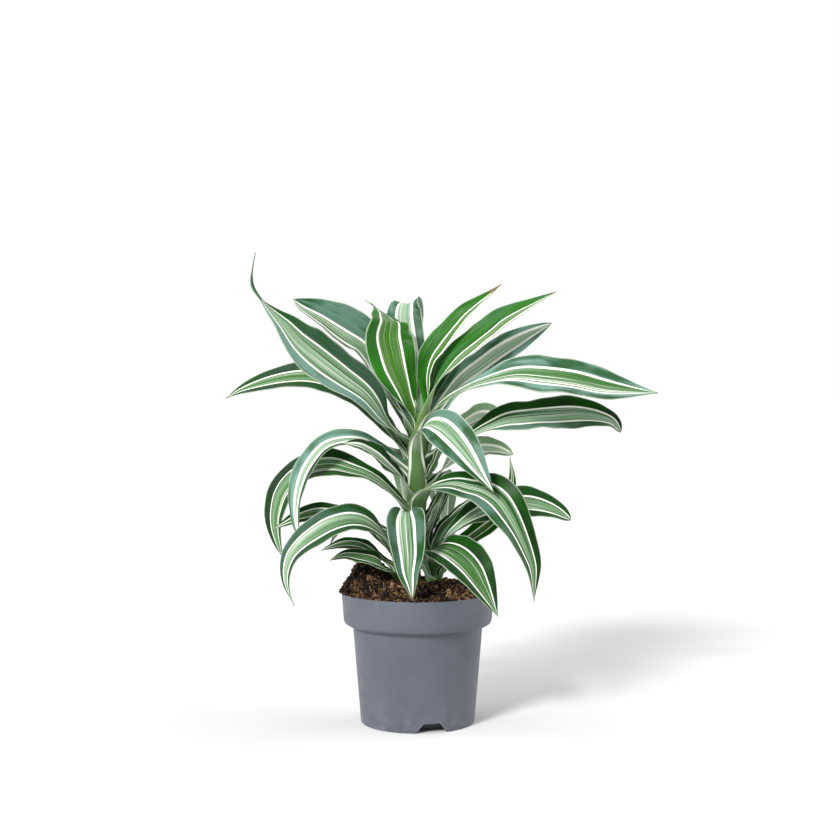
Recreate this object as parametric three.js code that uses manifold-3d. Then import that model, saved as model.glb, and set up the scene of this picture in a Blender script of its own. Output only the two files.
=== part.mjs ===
// A potted dracaena: striped arching leaves on three leafy shoots, in a nursery pot of soil.
// Millimetres, +Z up. The origin is on the pot's axis, on the surface that the pot stands on.
// Seen from the front, the view looks along +Y and +X is to the right.
import * as THREE from 'three';
import { mergeVertices } from 'three/addons/utils/BufferGeometryUtils.js';
import Module from 'manifold-3d';

// ---------- driving dimensions ----------

const clearance = 0.3; // gap kept between pieces that touch

const pot = {
  height: 103,
  rimRadius: 60,
  bandHeight: 25.5,
  bandLowRadius: 58.2,
  bandRounding: 4,
  bodyTopRadius: 51.2,
  footRadius: 44.8,
  footRounding: 1.2,
  wall: 1.3,
  floor: 1.6,
  sides: 60,
};

const notch = {
  headings: [-76, 44, 164], // degrees round the pot, the first one shows in front
  footWidth: 26,
  topWidth: 13,
  height: 7.5,
  depth: 13,
  roof: 1.3,
  slot: [4, 7], // drain hole in the roof: across and along the notch
};

const soil = {
  rimLevel: 101.5, // height of the soil where it meets the pot's wall
  crown: 9, // rise of the mound in the middle
  moundRise: 22, // extra rise of the heap at the back left
  moundAt: [-43, 12],
  moundReach: 19,
  clods: 1.1,
  edgeSharpness: 14, // how close to the wall the heap and the clods die out
};

// Each shoot leans a little: foot and top are points on its axis, with the radius there.
const shoots = {
  main: { foot: [-5, 0, 68], top: [2, 2, 243], footRadius: 6.5, topRadius: 3.6 },
  left: { foot: [-16, 1, 72], top: [-15, 0, 133], footRadius: 4.2, topRadius: 3 },
  right: { foot: [13, 2, 72], top: [13, 1, 136], footRadius: 4.5, topRadius: 3 },
};

const blade = {
  thickness: 0.8,
  stations: 13, // rings along a leaf
  across: 2, // quads on each side of the midrib
  baseWidth: 8,
  cup: 0.2, // depth of the channel, as a share of half the width
  wave: 0.1, // height of the margin's waves, as a share of half the width
  point: 1.1, // how sharply the tip is drawn out, less is blunter
};

// The leaves. "at" is the height of the leaf's foot on its shoot, "heading" the way it
// sets off, in degrees round the stem (0 is right, 90 is back), and "through" the points
// that its midrib passes on the way to the tip. "roll" turns the blade about its midrib,
// clockwise seen from the foot, at even steps from foot to tip. "tail" is the share of
// the length that is a thin whisker.
const leaves = {
  // the crown
  leaf_broad_left: {
    shoot: 'main', at: 213, heading: 205, width: 46, broad: 0.56, tail: 0.18,
    roll: [0, -45, -55, -50, -40],
    through: [[-23, -16, 235], [-39, -27, 258], [-57, -36, 272], [-74, -42, 285], [-89, -45, 298],
      [-101, -43, 312], [-111, -39, 322], [-120, -36, 332], [-126, -33, 341], [-127, -31, 348],
      [-126, -30, 357], [-124, -30, 367]],
  },
  leaf_under_left: {
    shoot: 'main', at: 198, heading: 176, width: 27, broad: 0.6, roll: [0, -35, -45, -52, -52],
    through: [[-16, 2, 220], [-26, 4, 234], [-39, 5, 247], [-54, 6, 259], [-70, 6, 268],
      [-86, 6, 272], [-105, 6, 271], [-123, 5, 267], [-140, 4, 261], [-151, 4, 255]],
  },
  leaf_back_left: {
    shoot: 'main', at: 224, heading: 168, width: 37, broad: 0.66, cup: 0.3, point: 0.75,
    roll: [0, -35, -45, -45, -40],
    through: [[-15, 11, 250], [-27, 21, 276], [-40, 30, 298], [-55, 33, 309], [-75, 35, 321],
      [-92, 36, 329], [-100, 37, 334]],
  },
  leaf_front_bright: {
    shoot: 'main', at: 235, heading: 150, width: 39, broad: 0.5, cup: 0.12, wave: 0.13,
    point: 1.4, roll: [0, -30, -38, 22, 30],
    through: [[-7, 6, 248], [-13, 9, 265], [-18, 11, 279], [-21, 13, 292], [-23, 14, 304],
      [-22, 18, 315], [-25, 27, 319], [-30, 38, 324], [-36, 47, 329], [-43, 55, 334]],
  },
  leaf_top_curled: {
    shoot: 'main', at: 241, heading: 93, width: 29, broad: 0.7, neck: 0.3, cup: 0.1,
    roll: [0, 0, 0, -5, -25],
    through: [[3, 14, 256], [0, 30, 276], [-6, 42, 296], [-10, 49, 312], [-11, 52, 324],
      [-9, 56, 331], [-4, 60, 330], [1, 61, 323], [4, 60, 316]],
  },
  leaf_upper_right_first: {
    shoot: 'main', at: 238, heading: -8, width: 20, broad: 0.42, roll: [0, 35, 50, 50, 45],
    through: [[8, 3, 253], [6, 6, 271], [9, 6, 287], [17, 7, 300], [27, 8, 312], [36, 8, 322],
      [46, 9, 330], [57, 10, 338], [66, 10, 345]],
  },
  leaf_upper_right_second: {
    shoot: 'main', at: 231, heading: -44, width: 22, broad: 0.52, roll: [0, 30, 50, 50, 40],
    through: [[10, -2, 251], [15, 0, 267], [23, 2, 280], [31, 4, 290], [47, 6, 303], [56, 7, 310],
      [66, 8, 318], [75, 8, 323], [90, 9, 330], [109, 10, 339]],
  },
  leaf_upper_right_third: {
    shoot: 'main', at: 221, heading: 44, width: 25, broad: 0.62, point: 0.8,
    roll: [0, 30, 50, 55, 55],
    through: [[14, 8, 243], [24, 14, 257], [36, 21, 270], [51, 28, 281], [65, 32, 291],
      [83, 36, 302], [94, 37, 308], [108, 38, 315]],
  },
  leaf_far_right: {
    shoot: 'main', at: 218, heading: -42, width: 40, broad: 0.64, neck: 0.25,
    roll: [0, 25, 35, 45, 45, 40],
    through: [[11, -8, 241], [24, -14, 255], [41, -19, 265], [56, -24, 270], [75, -29, 274],
      [95, -33, 273], [118, -36, 270], [140, -37, 265], [163, -37, 262], [183, -36, 260]],
  },
  // down the main stem
  leaf_right_arch: {
    shoot: 'main', at: 203, heading: -5, width: 36, broad: 0.6, neck: 0.15, point: 0.6,
    roll: [0, 20, 40, 48, 45],
    through: [[17, 1, 212], [33, 3, 220], [48, 5, 229], [60, 7, 234], [71, 8, 238], [87, 9, 240],
      [105, 10, 241], [127, 9, 242], [144, 6, 240], [154, 5, 236], [160, 4, 228]],
  },
  leaf_front_droop: {
    shoot: 'main', at: 184, heading: -88, width: 32, broad: 0.56, neck: 0.32,
    roll: [0, 0, 55, 35, 20],
    through: [[0, -10, 198], [-1, -13, 215], [1, -19, 229], [9, -26, 236], [18, -33, 234],
      [30, -44, 223], [38, -50, 213], [47, -55, 200], [57, -60, 186]],
  },
  leaf_right_back_pale: {
    shoot: 'main', at: 191, heading: 42, width: 27, broad: 0.6, point: 0.6,
    roll: [0, -15, -40, -50, -50],
    through: [[15, 13, 207], [24, 20, 220], [33, 26, 230], [42, 30, 237], [52, 33, 241],
      [61, 35, 239], [67, 36, 231]],
  },
  leaf_right_mid: {
    shoot: 'main', at: 178, heading: 18, width: 25, broad: 0.6, point: 0.7,
    roll: [0, -10, -40, -45, -45],
    through: [[17, 6, 195], [29, 10, 206], [42, 13, 213], [54, 15, 215], [65, 16, 214],
      [76, 16, 210]],
  },
  leaf_front_right_long: {
    shoot: 'main', at: 167, heading: -52, width: 34, broad: 0.45, neck: 0.1,
    roll: [0, 35, 42, 22, 10],
    through: [[4, -13, 177], [9, -18, 185], [19, -24, 189], [29, -29, 190], [40, -35, 188],
      [51, -43, 186], [61, -50, 180], [69, -55, 169], [76, -60, 156], [83, -63, 139],
      [86, -65, 129], [87, -66, 105]],
  },
  leaf_left_long: {
    shoot: 'main', at: 188, heading: 150, width: 21, broad: 0.52, roll: [0, -25, -40, -40, -35],
    through: [[-16, 8, 203], [-31, 4, 216], [-45, 0, 223], [-61, -4, 223], [-73, -7, 219],
      [-82, -9, 210], [-89, -11, 199], [-93, -12, 187], [-95, -13, 175], [-95, -13, 162],
      [-93, -13, 150], [-88, -12, 138]],
  },
  leaf_left_front: {
    shoot: 'main', at: 174, heading: 225, width: 26, broad: 0.5, roll: [0, -30, -45, -45, -40],
    through: [[-11, -13, 191], [-22, -22, 203], [-33, -29, 213], [-44, -36, 220], [-57, -41, 222]],
  },
  leaf_left_mid: {
    shoot: 'main', at: 160, heading: 190, width: 29, broad: 0.55, point: 0.9,
    roll: [0, -30, -45, -55, -60],
    through: [[-15, -9, 174], [-25, -11, 186], [-38, -9, 195], [-53, -5, 200], [-66, -1, 203],
      [-78, 2, 202], [-90, 4, 198], [-100, 6, 191], [-108, 7, 180], [-112, 7, 167],
      [-113, 6, 154], [-111, 6, 142], [-107, 5, 130]],
  },
  leaf_front_down: {
    shoot: 'main', at: 153, heading: -95, width: 35, broad: 0.45, cup: 0.36, neck: 0.25,
    roll: [0, 0, 0, 0, 0],
    through: [[-8, -18, 166], [-9, -30, 168], [-9, -42, 162], [-8, -50, 151], [-7, -55, 139],
      [-7, -59, 126], [-5, -62, 114], [-4, -64, 105]],
  },
  leaf_left_low_thin: {
    shoot: 'main', at: 137, heading: 160, width: 17, broad: 0.6, roll: [0, -25, -50, -55, -55],
    through: [[-20, 7, 146], [-36, 7, 154], [-52, 6, 161], [-66, 5, 164], [-79, 3, 165],
      [-93, -1, 162], [-103, -8, 158], [-113, -12, 153]],
  },
  // the left low shoot
  leaf_left_low_arch: {
    shoot: 'left', at: 127, heading: 215, width: 29, broad: 0.38, point: 1.4,
    roll: [0, -35, -42, -35, -30],
    through: [[-20, -12, 136], [-25, -19, 147], [-32, -25, 155], [-41, -30, 161], [-51, -34, 163],
      [-60, -37, 162], [-69, -39, 159], [-79, -41, 153], [-88, -42, 146], [-96, -43, 137],
      [-100, -43, 126], [-100, -43, 115], [-97, -43, 105], [-94, -42, 98]],
  },
  leaf_left_small_upper: {
    shoot: 'left', at: 119, heading: 165, width: 15, broad: 0.45, roll: [0, -35, -45],
    through: [[-27, 3, 127], [-37, 1, 135], [-47, -2, 140], [-57, -4, 141], [-67, -6, 139],
      [-76, -7, 136]],
  },
  leaf_left_small_lower: {
    shoot: 'left', at: 115, heading: 220, width: 19, broad: 0.32, roll: [0, -40, -45],
    through: [[-25, -12, 122], [-31, -17, 128], [-38, -19, 131], [-47, -20, 133], [-57, -21, 134],
      [-68, -21, 130]],
  },
  // the right low shoot
  leaf_front_right_low: {
    shoot: 'right', at: 122, heading: -80, width: 38, broad: 0.43, wave: 0.05,
    roll: [0, 20, 25, 15, 10],
    through: [[13, -14, 134], [13, -22, 139], [20, -30, 140], [31, -40, 136], [41, -50, 127],
      [48, -58, 116], [54, -64, 105], [60, -69, 94]],
  },
  leaf_right_low_arch: {
    shoot: 'right', at: 129, heading: -21, width: 31, broad: 0.62, point: 0.6,
    roll: [0, 30, 42, 45, 45],
    through: [[23, -1, 146], [33, 0, 155], [45, 2, 163], [59, 4, 169], [73, 5, 172], [87, 6, 172],
      [98, 6, 170], [109, 5, 166], [121, 4, 159]],
  },
  leaf_right_low_upright: {
    shoot: 'right', at: 120, heading: 25, width: 18, broad: 0.32, roll: [0, 30, 40, 40, 40],
    through: [[32, 12, 136], [48, 19, 147], [62, 23, 158], [72, 25, 172], [76, 26, 189],
      [74, 26, 207]],
  },
  leaf_right_inner_first: {
    shoot: 'main', at: 139, heading: 50, width: 15, broad: 0.4, roll: [0, 0, 0],
    through: [[6, 7, 151], [12, 13, 163], [17, 20, 175], [22, 29, 185]],
  },
  leaf_right_inner_second: {
    shoot: 'right', at: 136, heading: 66, width: 16, broad: 0.4, roll: [0, 20, 20],
    through: [[20, 13.5, 149], [30, 18, 159], [40, 22, 169], [50, 26, 179]],
  },
  leaf_right_inner_third: {
    shoot: 'right', at: 130, heading: 145, width: 15, broad: 0.4, roll: [0, 10, 10],
    through: [[5, 12.5, 142], [8, 18.5, 153], [14, 21.5, 164], [21, 23.5, 175], [28, 23.5, 186]],
  },
  leaf_right_inner_fourth: {
    shoot: 'main', at: 143, heading: 0, width: 12, broad: 0.4, roll: [0, 10, 10],
    through: [[8, -1, 155], [12, -2, 165], [17, -3, 175], [23, -4, 184]],
  },
  leaf_right_inner_fifth: {
    shoot: 'main', at: 188, heading: -22, width: 15, broad: 0.4, roll: [0, 10, 10],
    through: [[12, -6, 200], [16, -11, 210], [20, -15, 220], [26, -18, 229]],
  },
  leaf_right_foot_first: {
    shoot: 'right', at: 112, heading: 214, width: 11, broad: 0.4, roll: [0, 0, 0],
    through: [[5.5, -7.5, 121], [0, -10.5, 130], [-4, -12.5, 139], [-7, -14.5, 147]],
  },
  leaf_right_foot_second: {
    shoot: 'right', at: 113, heading: 322, width: 13, broad: 0.4, roll: [0, 0, 0],
    through: [[20, -5, 121], [24, -9, 127], [28, -12, 132]],
  },
  // the back of the plant
  leaf_rear_upper: {
    shoot: 'main', at: 227, heading: 120, width: 31, broad: 0.5, roll: [0, 0, 0],
    through: [[1, 18, 249], [3, 36, 270], [5, 58, 288], [6, 82, 290], [7, 102, 278], [7, 118, 258]],
  },
  leaf_rear_upper_left: {
    shoot: 'main', at: 216, heading: 122, width: 32, broad: 0.5, roll: [0, 0, 0],
    through: [[-8, 16, 238], [-20, 36, 258], [-36, 58, 272], [-52, 80, 276], [-66, 98, 268],
      [-74, 108, 256]],
  },
  leaf_rear_upper_right: {
    shoot: 'main', at: 212, heading: 62, width: 32, broad: 0.5, roll: [0, 0, 0],
    through: [[9, 15, 234], [22, 34, 256], [40, 56, 272], [58, 76, 279], [74, 92, 277],
      [84, 104, 270]],
  },
  leaf_rear_middle: {
    shoot: 'main', at: 199, heading: 88, width: 31, broad: 0.5, roll: [0, 0, 0],
    through: [[1, 14, 218], [3, 34, 236], [5, 58, 244], [5, 84, 239], [4, 106, 222],
      [3, 120, 200], [2, 128, 180]],
  },
  leaf_rear_middle_left: {
    shoot: 'main', at: 179, heading: 104, width: 29, broad: 0.5, roll: [0, 0, 0],
    through: [[-5, 13, 198], [-8, 36, 211], [-10, 62, 210], [-10, 86, 196], [-10, 102, 174],
      [-9, 110, 150]],
  },
  leaf_rear_middle_right: {
    shoot: 'main', at: 168, heading: 72, width: 29, broad: 0.5, roll: [0, 0, 0],
    through: [[5, 13, 182], [11, 34, 192], [16, 60, 190], [20, 84, 174], [22, 100, 152],
      [23, 108, 130]],
  },
  leaf_rear_low_right: {
    shoot: 'right', at: 127, heading: 62, width: 22, broad: 0.5, roll: [0, 0, 0],
    through: [[21, 19, 142], [34, 38, 154], [51, 56, 158], [66, 70, 150], [76, 82, 136]],
  },
  leaf_rear_low_left: {
    shoot: 'left', at: 126, heading: 135, width: 17, broad: 0.5, roll: [0, 0, 0],
    through: [[-25, 14, 138], [-38, 30, 150], [-52, 46, 154], [-64, 58, 146], [-73, 66, 132]],
  },
  leaf_rear_low_middle: {
    shoot: 'right', at: 116, heading: 118, width: 23, broad: 0.5, roll: [0, 0, 0],
    through: [[10, 18, 132], [8, 38, 143], [6, 58, 142], [4, 74, 132], [3, 84, 116]],
  },
  leaf_rear_low_inner: {
    shoot: 'left', at: 123, heading: 72, width: 20, broad: 0.5, roll: [0, 0, 0],
    through: [[-15, 18, 133], [-17, 38, 141], [-20, 56, 138], [-22, 70, 124]],
  },
};

// ---------- solids: join and cut ----------

const library = await Module();
library.setup();

function toSolid(geometry) {
  const bare = geometry.clone();
  bare.deleteAttribute('normal');
  bare.deleteAttribute('uv');
  const merged = mergeVertices(bare, 1e-4);
  return new library.Manifold(new library.Mesh({
    numProp: 3,
    vertProperties: new Float32Array(merged.attributes.position.array),
    triVerts: new Uint32Array(merged.index.array),
  }));
}

function toGeometry(solid) {
  const mesh = solid.getMesh();
  const geometry = new THREE.BufferGeometry();
  geometry.setAttribute('position', new THREE.BufferAttribute(new Float32Array(mesh.vertProperties), 3));
  geometry.setIndex(new THREE.BufferAttribute(new Uint32Array(mesh.triVerts), 1));
  return geometry;
}

// The biggest body of a solid that a cut may have left in several.
function mainBody(solid) {
  const bodies = solid.decompose();
  return bodies.reduce((best, body) => (body.volume() > best.volume() ? body : best));
}

// ---------- the pot ----------

// The outline of a turned piece, from the axis and back to it, spun about +Z.
function turned(outline, sides) {
  const points = outline.map(([radius, height]) => new THREE.Vector2(radius, height));
  return new THREE.LatheGeometry(points, sides).rotateX(Math.PI / 2);
}

function potOutline() {
  const bandFoot = pot.height - pot.bandHeight;
  const { wall, bandRounding: round } = pot;
  const shoulder = pot.bandLowRadius - round;
  return [
    [0, 0],
    [pot.footRadius - pot.footRounding, 0],
    [pot.footRadius, pot.footRounding],
    [pot.bodyTopRadius, bandFoot],
    [shoulder, bandFoot],
    [shoulder + round * 0.6, bandFoot + round * 0.25],
    [pot.bandLowRadius, bandFoot + round],
    [pot.rimRadius, pot.height - 0.6],
    [pot.rimRadius - 0.5, pot.height],
    [pot.rimRadius - wall, pot.height],
    [pot.bandLowRadius - wall, bandFoot + round + wall],
    [pot.bodyTopRadius - wall, bandFoot + wall],
    [pot.footRadius - wall, pot.floor + 1],
    [pot.footRadius - wall - 1.5, pot.floor],
    [0, pot.floor],
  ];
}

// A drain notch: a low trapezium, wide at the foot, that runs in from the pot's side.
function notchSpace(grow, reach) {
  const foot = notch.footWidth / 2 + grow;
  const top = notch.topWidth / 2 + grow;
  const height = notch.height + grow;
  const shape = new THREE.Shape([
    new THREE.Vector2(-foot, -1),
    new THREE.Vector2(foot, -1),
    new THREE.Vector2(top, height),
    new THREE.Vector2(-top, height),
  ]);
  const length = notch.depth + grow + reach;
  const space = new THREE.ExtrudeGeometry(shape, { depth: length, bevelEnabled: false });
  // along +X, its inner end at the notch's depth behind the foot
  space.rotateX(Math.PI / 2).rotateZ(Math.PI / 2);
  return space.translate(pot.footRadius - notch.depth - grow, 0, 0);
}

// The inside of the pot, up to just under the rim, a little smaller by "inset".
function potInside(inset, topHeight) {
  const { wall } = pot;
  const bandFoot = pot.height - pot.bandHeight;
  return [
    [0, pot.floor + inset],
    [pot.footRadius - wall - 1.5 - inset, pot.floor + inset],
    [pot.footRadius - wall - inset, pot.floor + 1 + inset],
    [pot.bodyTopRadius - wall - inset, bandFoot + wall + inset],
    [pot.bandLowRadius - wall - inset, bandFoot + pot.bandRounding + wall + inset],
    [pot.rimRadius - wall - inset, topHeight],
  ];
}

function atHeading(geometry, heading) {
  return geometry.rotateZ(THREE.MathUtils.degToRad(heading));
}

// The plastic round a notch, clipped to the inside of the pot's own wall.
function notchHousing(grow, heading) {
  const housing = toSolid(atHeading(notchSpace(notch.roof + grow, 0), heading));
  const limit = [[0, 0.4], [pot.footRadius - 0.6, 0.4], [pot.footRadius + 0.6, 15], [0, 15]];
  const within = turned(limit, pot.sides);
  return housing.intersect(toSolid(within));
}

function drainSlot(heading) {
  const [across, along] = notch.slot;
  const slot = new THREE.BoxGeometry(along, across, 6);
  slot.translate(pot.footRadius - notch.depth / 2, notch.topWidth / 4, notch.height);
  return toSolid(atHeading(slot, heading));
}

function makePot() {
  let solid = toSolid(turned(potOutline(), pot.sides));
  for (const heading of notch.headings) solid = solid.add(notchHousing(0, heading));
  for (const heading of notch.headings) {
    solid = solid.subtract(toSolid(atHeading(notchSpace(0, 10), heading)));
    solid = solid.subtract(drainSlot(heading));
  }
  return toGeometry(mainBody(solid));
}

// ---------- the shoots ----------

// The point on a shoot's axis at a height, and the radius there.
function onShoot(shoot, height) {
  const { foot, top, footRadius, topRadius } = shoots[shoot];
  const share = (height - foot[2]) / (top[2] - foot[2]);
  const point = new THREE.Vector3(...foot).lerp(new THREE.Vector3(...top), share);
  return { point, radius: THREE.MathUtils.lerp(footRadius, topRadius, share) };
}

// A tapering stem with a ring at each old leaf foot and a rounded top.
function makeShoot(name, grow = 0, sides = 10) {
  const { foot, top, footRadius, topRadius } = shoots[name];
  const length = top[2] - foot[2];
  const steps = Math.round(length / 12);
  const outline = [[0, -grow]];
  for (let step = 0; step <= steps; step += 1) {
    const share = step / steps;
    const radius = THREE.MathUtils.lerp(footRadius, topRadius, share);
    outline.push([radius + grow, share * length - (step === 0 ? grow : 0)]);
    if (step < steps) outline.push([radius + grow - 0.5, (share + 0.75 / steps) * length]);
  }
  outline.push([topRadius * 0.6 + grow, length + 1.5]);
  outline.push([0, length + 2.5 + grow]);
  const stem = turned(outline, sides);
  const lean = new THREE.Matrix4().makeShear(
    0, 0, 0, 0, (top[0] - foot[0]) / length, (top[1] - foot[1]) / length,
  );
  stem.applyMatrix4(lean);
  return stem.translate(...foot);
}

// ---------- the soil ----------

// The height of the soil's surface: a mound with a heap at the back left, and clods.
function soilHeight(x, y) {
  const share = Math.min(1, Math.hypot(x, y) / (pot.rimRadius - pot.wall));
  const [moundX, moundY] = soil.moundAt;
  const away = Math.hypot(x - moundX, y - moundY) / soil.moundReach;
  const edge = 1 - share ** soil.edgeSharpness;
  const clods = Math.sin(x * 0.42 + 1.3 * Math.sin(y * 0.31))
    * Math.cos(y * 0.47 + 0.8 * Math.sin(x * 0.23));
  return soil.rimLevel + soil.crown * (1 - share ** 2.2)
    + edge * (soil.moundRise * Math.exp(-away * away) + soil.clods * clods);
}

function makeSoil() {
  const outline = potInside(clearance, soil.rimLevel);
  const rings = 12;
  const edge = outline[outline.length - 1][0];
  for (let ring = rings - 1; ring >= 0; ring -= 1) outline.push([(edge * ring) / rings, soil.rimLevel]);
  const body = turned(outline, 48);
  const place = body.attributes.position;
  for (let i = 0; i < place.count; i += 1) {
    if (place.getZ(i) > soil.rimLevel - 0.01) place.setZ(i, soilHeight(place.getX(i), place.getY(i)));
  }
  let solid = toSolid(body);
  for (const name of Object.keys(shoots)) solid = solid.subtract(toSolid(makeShoot(name, clearance)));
  for (const heading of notch.headings) solid = solid.subtract(notchHousing(clearance, heading));
  return toGeometry(mainBody(solid));
}

// ---------- the leaves ----------

const smooth = (share) => THREE.MathUtils.smoothstep(share, 0, 1);

// Width of a blade along its length: a narrow neck, its broadest place, a drawn-out tip.
function bladeWidth(leaf, share) {
  const body = Math.min(1, share / (1 - (leaf.tail ?? 0)));
  const neck = leaf.neck ?? 0.04;
  const foot = Math.min(0.6, blade.baseWidth / leaf.width);
  const growth = THREE.MathUtils.clamp((body - neck) / (leaf.broad - neck), 0, 1);
  const rise = foot + (1 - foot) * Math.sin((growth * Math.PI) / 2) ** 1.3;
  const past = Math.max(0, (body - leaf.broad) / (1 - leaf.broad));
  return Math.max(leaf.width * rise * (1 - past ** 2) ** (leaf.point ?? blade.point), 3.4 - 2.4 * share);
}

// A value that runs evenly through a short list.
function along(list, share) {
  const place = share * (list.length - 1);
  const before = Math.min(list.length - 2, Math.floor(place));
  return THREE.MathUtils.lerp(list[before], list[before + 1], smooth(place - before));
}

function midrib(leaf) {
  const { point, radius } = onShoot(leaf.shoot, leaf.at);
  const angle = THREE.MathUtils.degToRad(leaf.heading);
  const out = new THREE.Vector3(Math.cos(angle), Math.sin(angle), 0);
  const foot = point.clone().addScaledVector(out, radius + blade.thickness / 2 + clearance + 0.1);
  const points = leaf.through.map((place) => new THREE.Vector3(...place));
  return new THREE.CatmullRomCurve3([foot, ...points], false, 'centripetal');
}

// The midrib's point and the blade's three directions at a share of its length.
function bladeFrame(leaf, curve, share) {
  const point = curve.getPointAt(share);
  const run = curve.getTangentAt(share);
  const [tipX, tipY] = leaf.through[leaf.through.length - 1];
  const chord = new THREE.Vector2(tipX - curve.points[0].x, tipY - curve.points[0].y).angle();
  const angle = THREE.MathUtils.degToRad(leaf.heading);
  const turn = Math.atan2(Math.sin(chord - angle), Math.cos(chord - angle));
  const way = angle + turn * smooth(share * 2.5);
  const side = new THREE.Vector3(Math.sin(way), -Math.cos(way), 0);
  side.addScaledVector(run, -side.dot(run)).normalize();
  const up = new THREE.Vector3().crossVectors(side, run);
  const roll = THREE.MathUtils.degToRad(along(leaf.roll, share));
  const normal = up.clone().multiplyScalar(Math.cos(roll)).addScaledVector(side, Math.sin(roll));
  const across = new THREE.Vector3().crossVectors(run, normal);
  return { point, across, normal };
}

// One closed blade: rings of points down the length, joined alike on both faces.
function makeLeaf(name) {
  const leaf = leaves[name];
  const curve = midrib(leaf);
  curve.arcLengthDivisions = 400;
  const half = blade.thickness / 2;
  const phase = name.length * 1.7;
  const columns = 2 * blade.across + 1;
  const places = [];
  for (let station = 0; station < blade.stations; station += 1) {
    const share = station / (blade.stations - 1);
    const { point, across, normal } = bladeFrame(leaf, curve, share);
    const reach = bladeWidth(leaf, share) / 2;
    const calm = Math.sin(Math.PI * share) ** 0.5;
    for (const face of [1, -1]) {
      for (let column = 0; column < columns; column += 1) {
        const u = (column / blade.across - 1) * face;
        const cup = (leaf.cup ?? blade.cup) * u * u * reach;
        const ripple = Math.sin(share * 19 + phase + (u > 0 ? 2.1 : 0)) * u * u;
        const lift = cup + (leaf.wave ?? blade.wave) * reach * calm * ripple + face * half;
        const place = point.clone()
          .addScaledVector(across, u * reach)
          .addScaledVector(normal, lift);
        places.push(place.x, place.y, place.z);
      }
    }
  }
  return closedStrip(places, columns);
}

// Joins rings of 2 x columns points into one closed body, with a cap at each end.
function closedStrip(places, columns) {
  const ring = 2 * columns;
  const rings = places.length / 3 / ring;
  const faces = [];
  for (let r = 0; r < rings - 1; r += 1) {
    for (let i = 0; i < ring; i += 1) {
      const next = (i + 1) % ring;
      const a = r * ring + i;
      const b = r * ring + next;
      const c = a + ring;
      const d = b + ring;
      // the far face is cut along the same diagonals as the near one
      if (i < columns) faces.push(a, b, c, b, d, c);
      else faces.push(a, b, d, a, d, c);
    }
  }
  const last = (rings - 1) * ring;
  for (let i = 0; i < columns - 1; i += 1) {
    const [a, b, c, d] = [i, i + 1, ring - 1 - i, ring - 2 - i];
    faces.push(a, c, b, b, c, d);
    faces.push(last + a, last + b, last + c, last + b, last + d, last + c);
  }
  const geometry = new THREE.BufferGeometry();
  geometry.setAttribute('position', new THREE.BufferAttribute(new Float32Array(places), 3));
  geometry.setIndex(faces);
  return geometry;
}

// ---------- the whole plant ----------

const colours = {
  pot: { color: 0x7b8088, roughness: 0.55, metalness: 0 },
  soil: { color: 0x3a2a1e, roughness: 1, metalness: 0 },
  stem: { color: 0x6f8a52, roughness: 0.7, metalness: 0 },
  leaf: { color: 0x3c6b3c, roughness: 0.4, metalness: 0 },
};

function named(name, geometry, colour) {
  const flat = geometry.index ? geometry.toNonIndexed() : geometry;
  flat.computeVertexNormals();
  const mesh = new THREE.Mesh(flat, new THREE.MeshStandardMaterial(colours[colour]));
  mesh.name = name;
  return mesh;
}

const group = new THREE.Group();
group.add(named('pot', makePot(), 'pot'));
group.add(named('soil', makeSoil(), 'soil'));
for (const name of Object.keys(shoots)) group.add(named(`stem_${name}`, makeShoot(name), 'stem'));
for (const name of Object.keys(leaves)) group.add(named(name, makeLeaf(name), 'leaf'));

export default group;
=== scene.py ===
import bisect
import math
import random

import bmesh
import bpy
from mathutils import Euler, Matrix, Vector, noise


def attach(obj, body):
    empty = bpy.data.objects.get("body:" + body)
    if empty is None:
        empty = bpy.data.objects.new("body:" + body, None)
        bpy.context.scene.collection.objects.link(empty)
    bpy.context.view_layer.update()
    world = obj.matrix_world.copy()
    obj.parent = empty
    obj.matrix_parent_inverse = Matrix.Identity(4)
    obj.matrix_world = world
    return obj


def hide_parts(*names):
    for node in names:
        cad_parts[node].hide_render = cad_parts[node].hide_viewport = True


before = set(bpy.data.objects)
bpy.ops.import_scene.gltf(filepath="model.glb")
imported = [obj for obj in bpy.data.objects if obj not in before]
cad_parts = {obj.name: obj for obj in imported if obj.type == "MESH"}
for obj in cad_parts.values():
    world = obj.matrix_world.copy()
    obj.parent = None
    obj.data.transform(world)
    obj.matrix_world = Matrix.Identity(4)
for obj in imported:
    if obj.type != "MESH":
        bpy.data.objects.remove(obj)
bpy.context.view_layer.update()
mm = 0.001  # the sizes below are written in millimetres, the meshes are in metres
print("frame loaded:", len(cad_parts), "nodes")


# the camera, which takes the view of the photo
cameraPlan = {
    "place": (1.8, -1250, 285),
    "lookDown": 2.15,  # degrees
    "lens": 68.24,
    "sensor": 36,
}


def makeCamera(plan):
    data = bpy.data.cameras.new("camera")
    data.sensor_width = plan["sensor"]
    data.lens = plan["lens"]
    data.clip_end = 50
    camera = bpy.data.objects.new("camera", data)
    camera.location = Vector(plan["place"]) * mm
    camera.rotation_euler = (math.radians(90 - plan["lookDown"]), 0, 0)
    bpy.context.scene.collection.objects.link(camera)
    bpy.context.scene.camera = camera


lightPlan = {
    "backdrop": 1.0,  # the white that the camera sees behind the plant
    "front": 0.13,  # light of the room on the camera's side
    "back": 0.29,  # and on the far side
    "turn": (-0.8, 0.6),  # where the one passes into the other, from -1 in front to 1 behind
    "mirroredFront": 0.03,  # the room as shiny surfaces show it
    "mirroredBack": 1.1,
    "mirroredTurn": (-0.1, 0.8),
    "lamps": {
        # degrees: the way each light comes from (0 is right, 90 is back), its height and spread
        "window": {"from": 240, "height": 31, "spread": 15, "strength": 3.6},
        "leftPanel": {"from": 176, "height": 34, "spread": 90, "strength": 1.65},
        "rightPanel": {"from": 8, "height": 30, "spread": 80, "strength": 2.05},
    },
}


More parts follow.
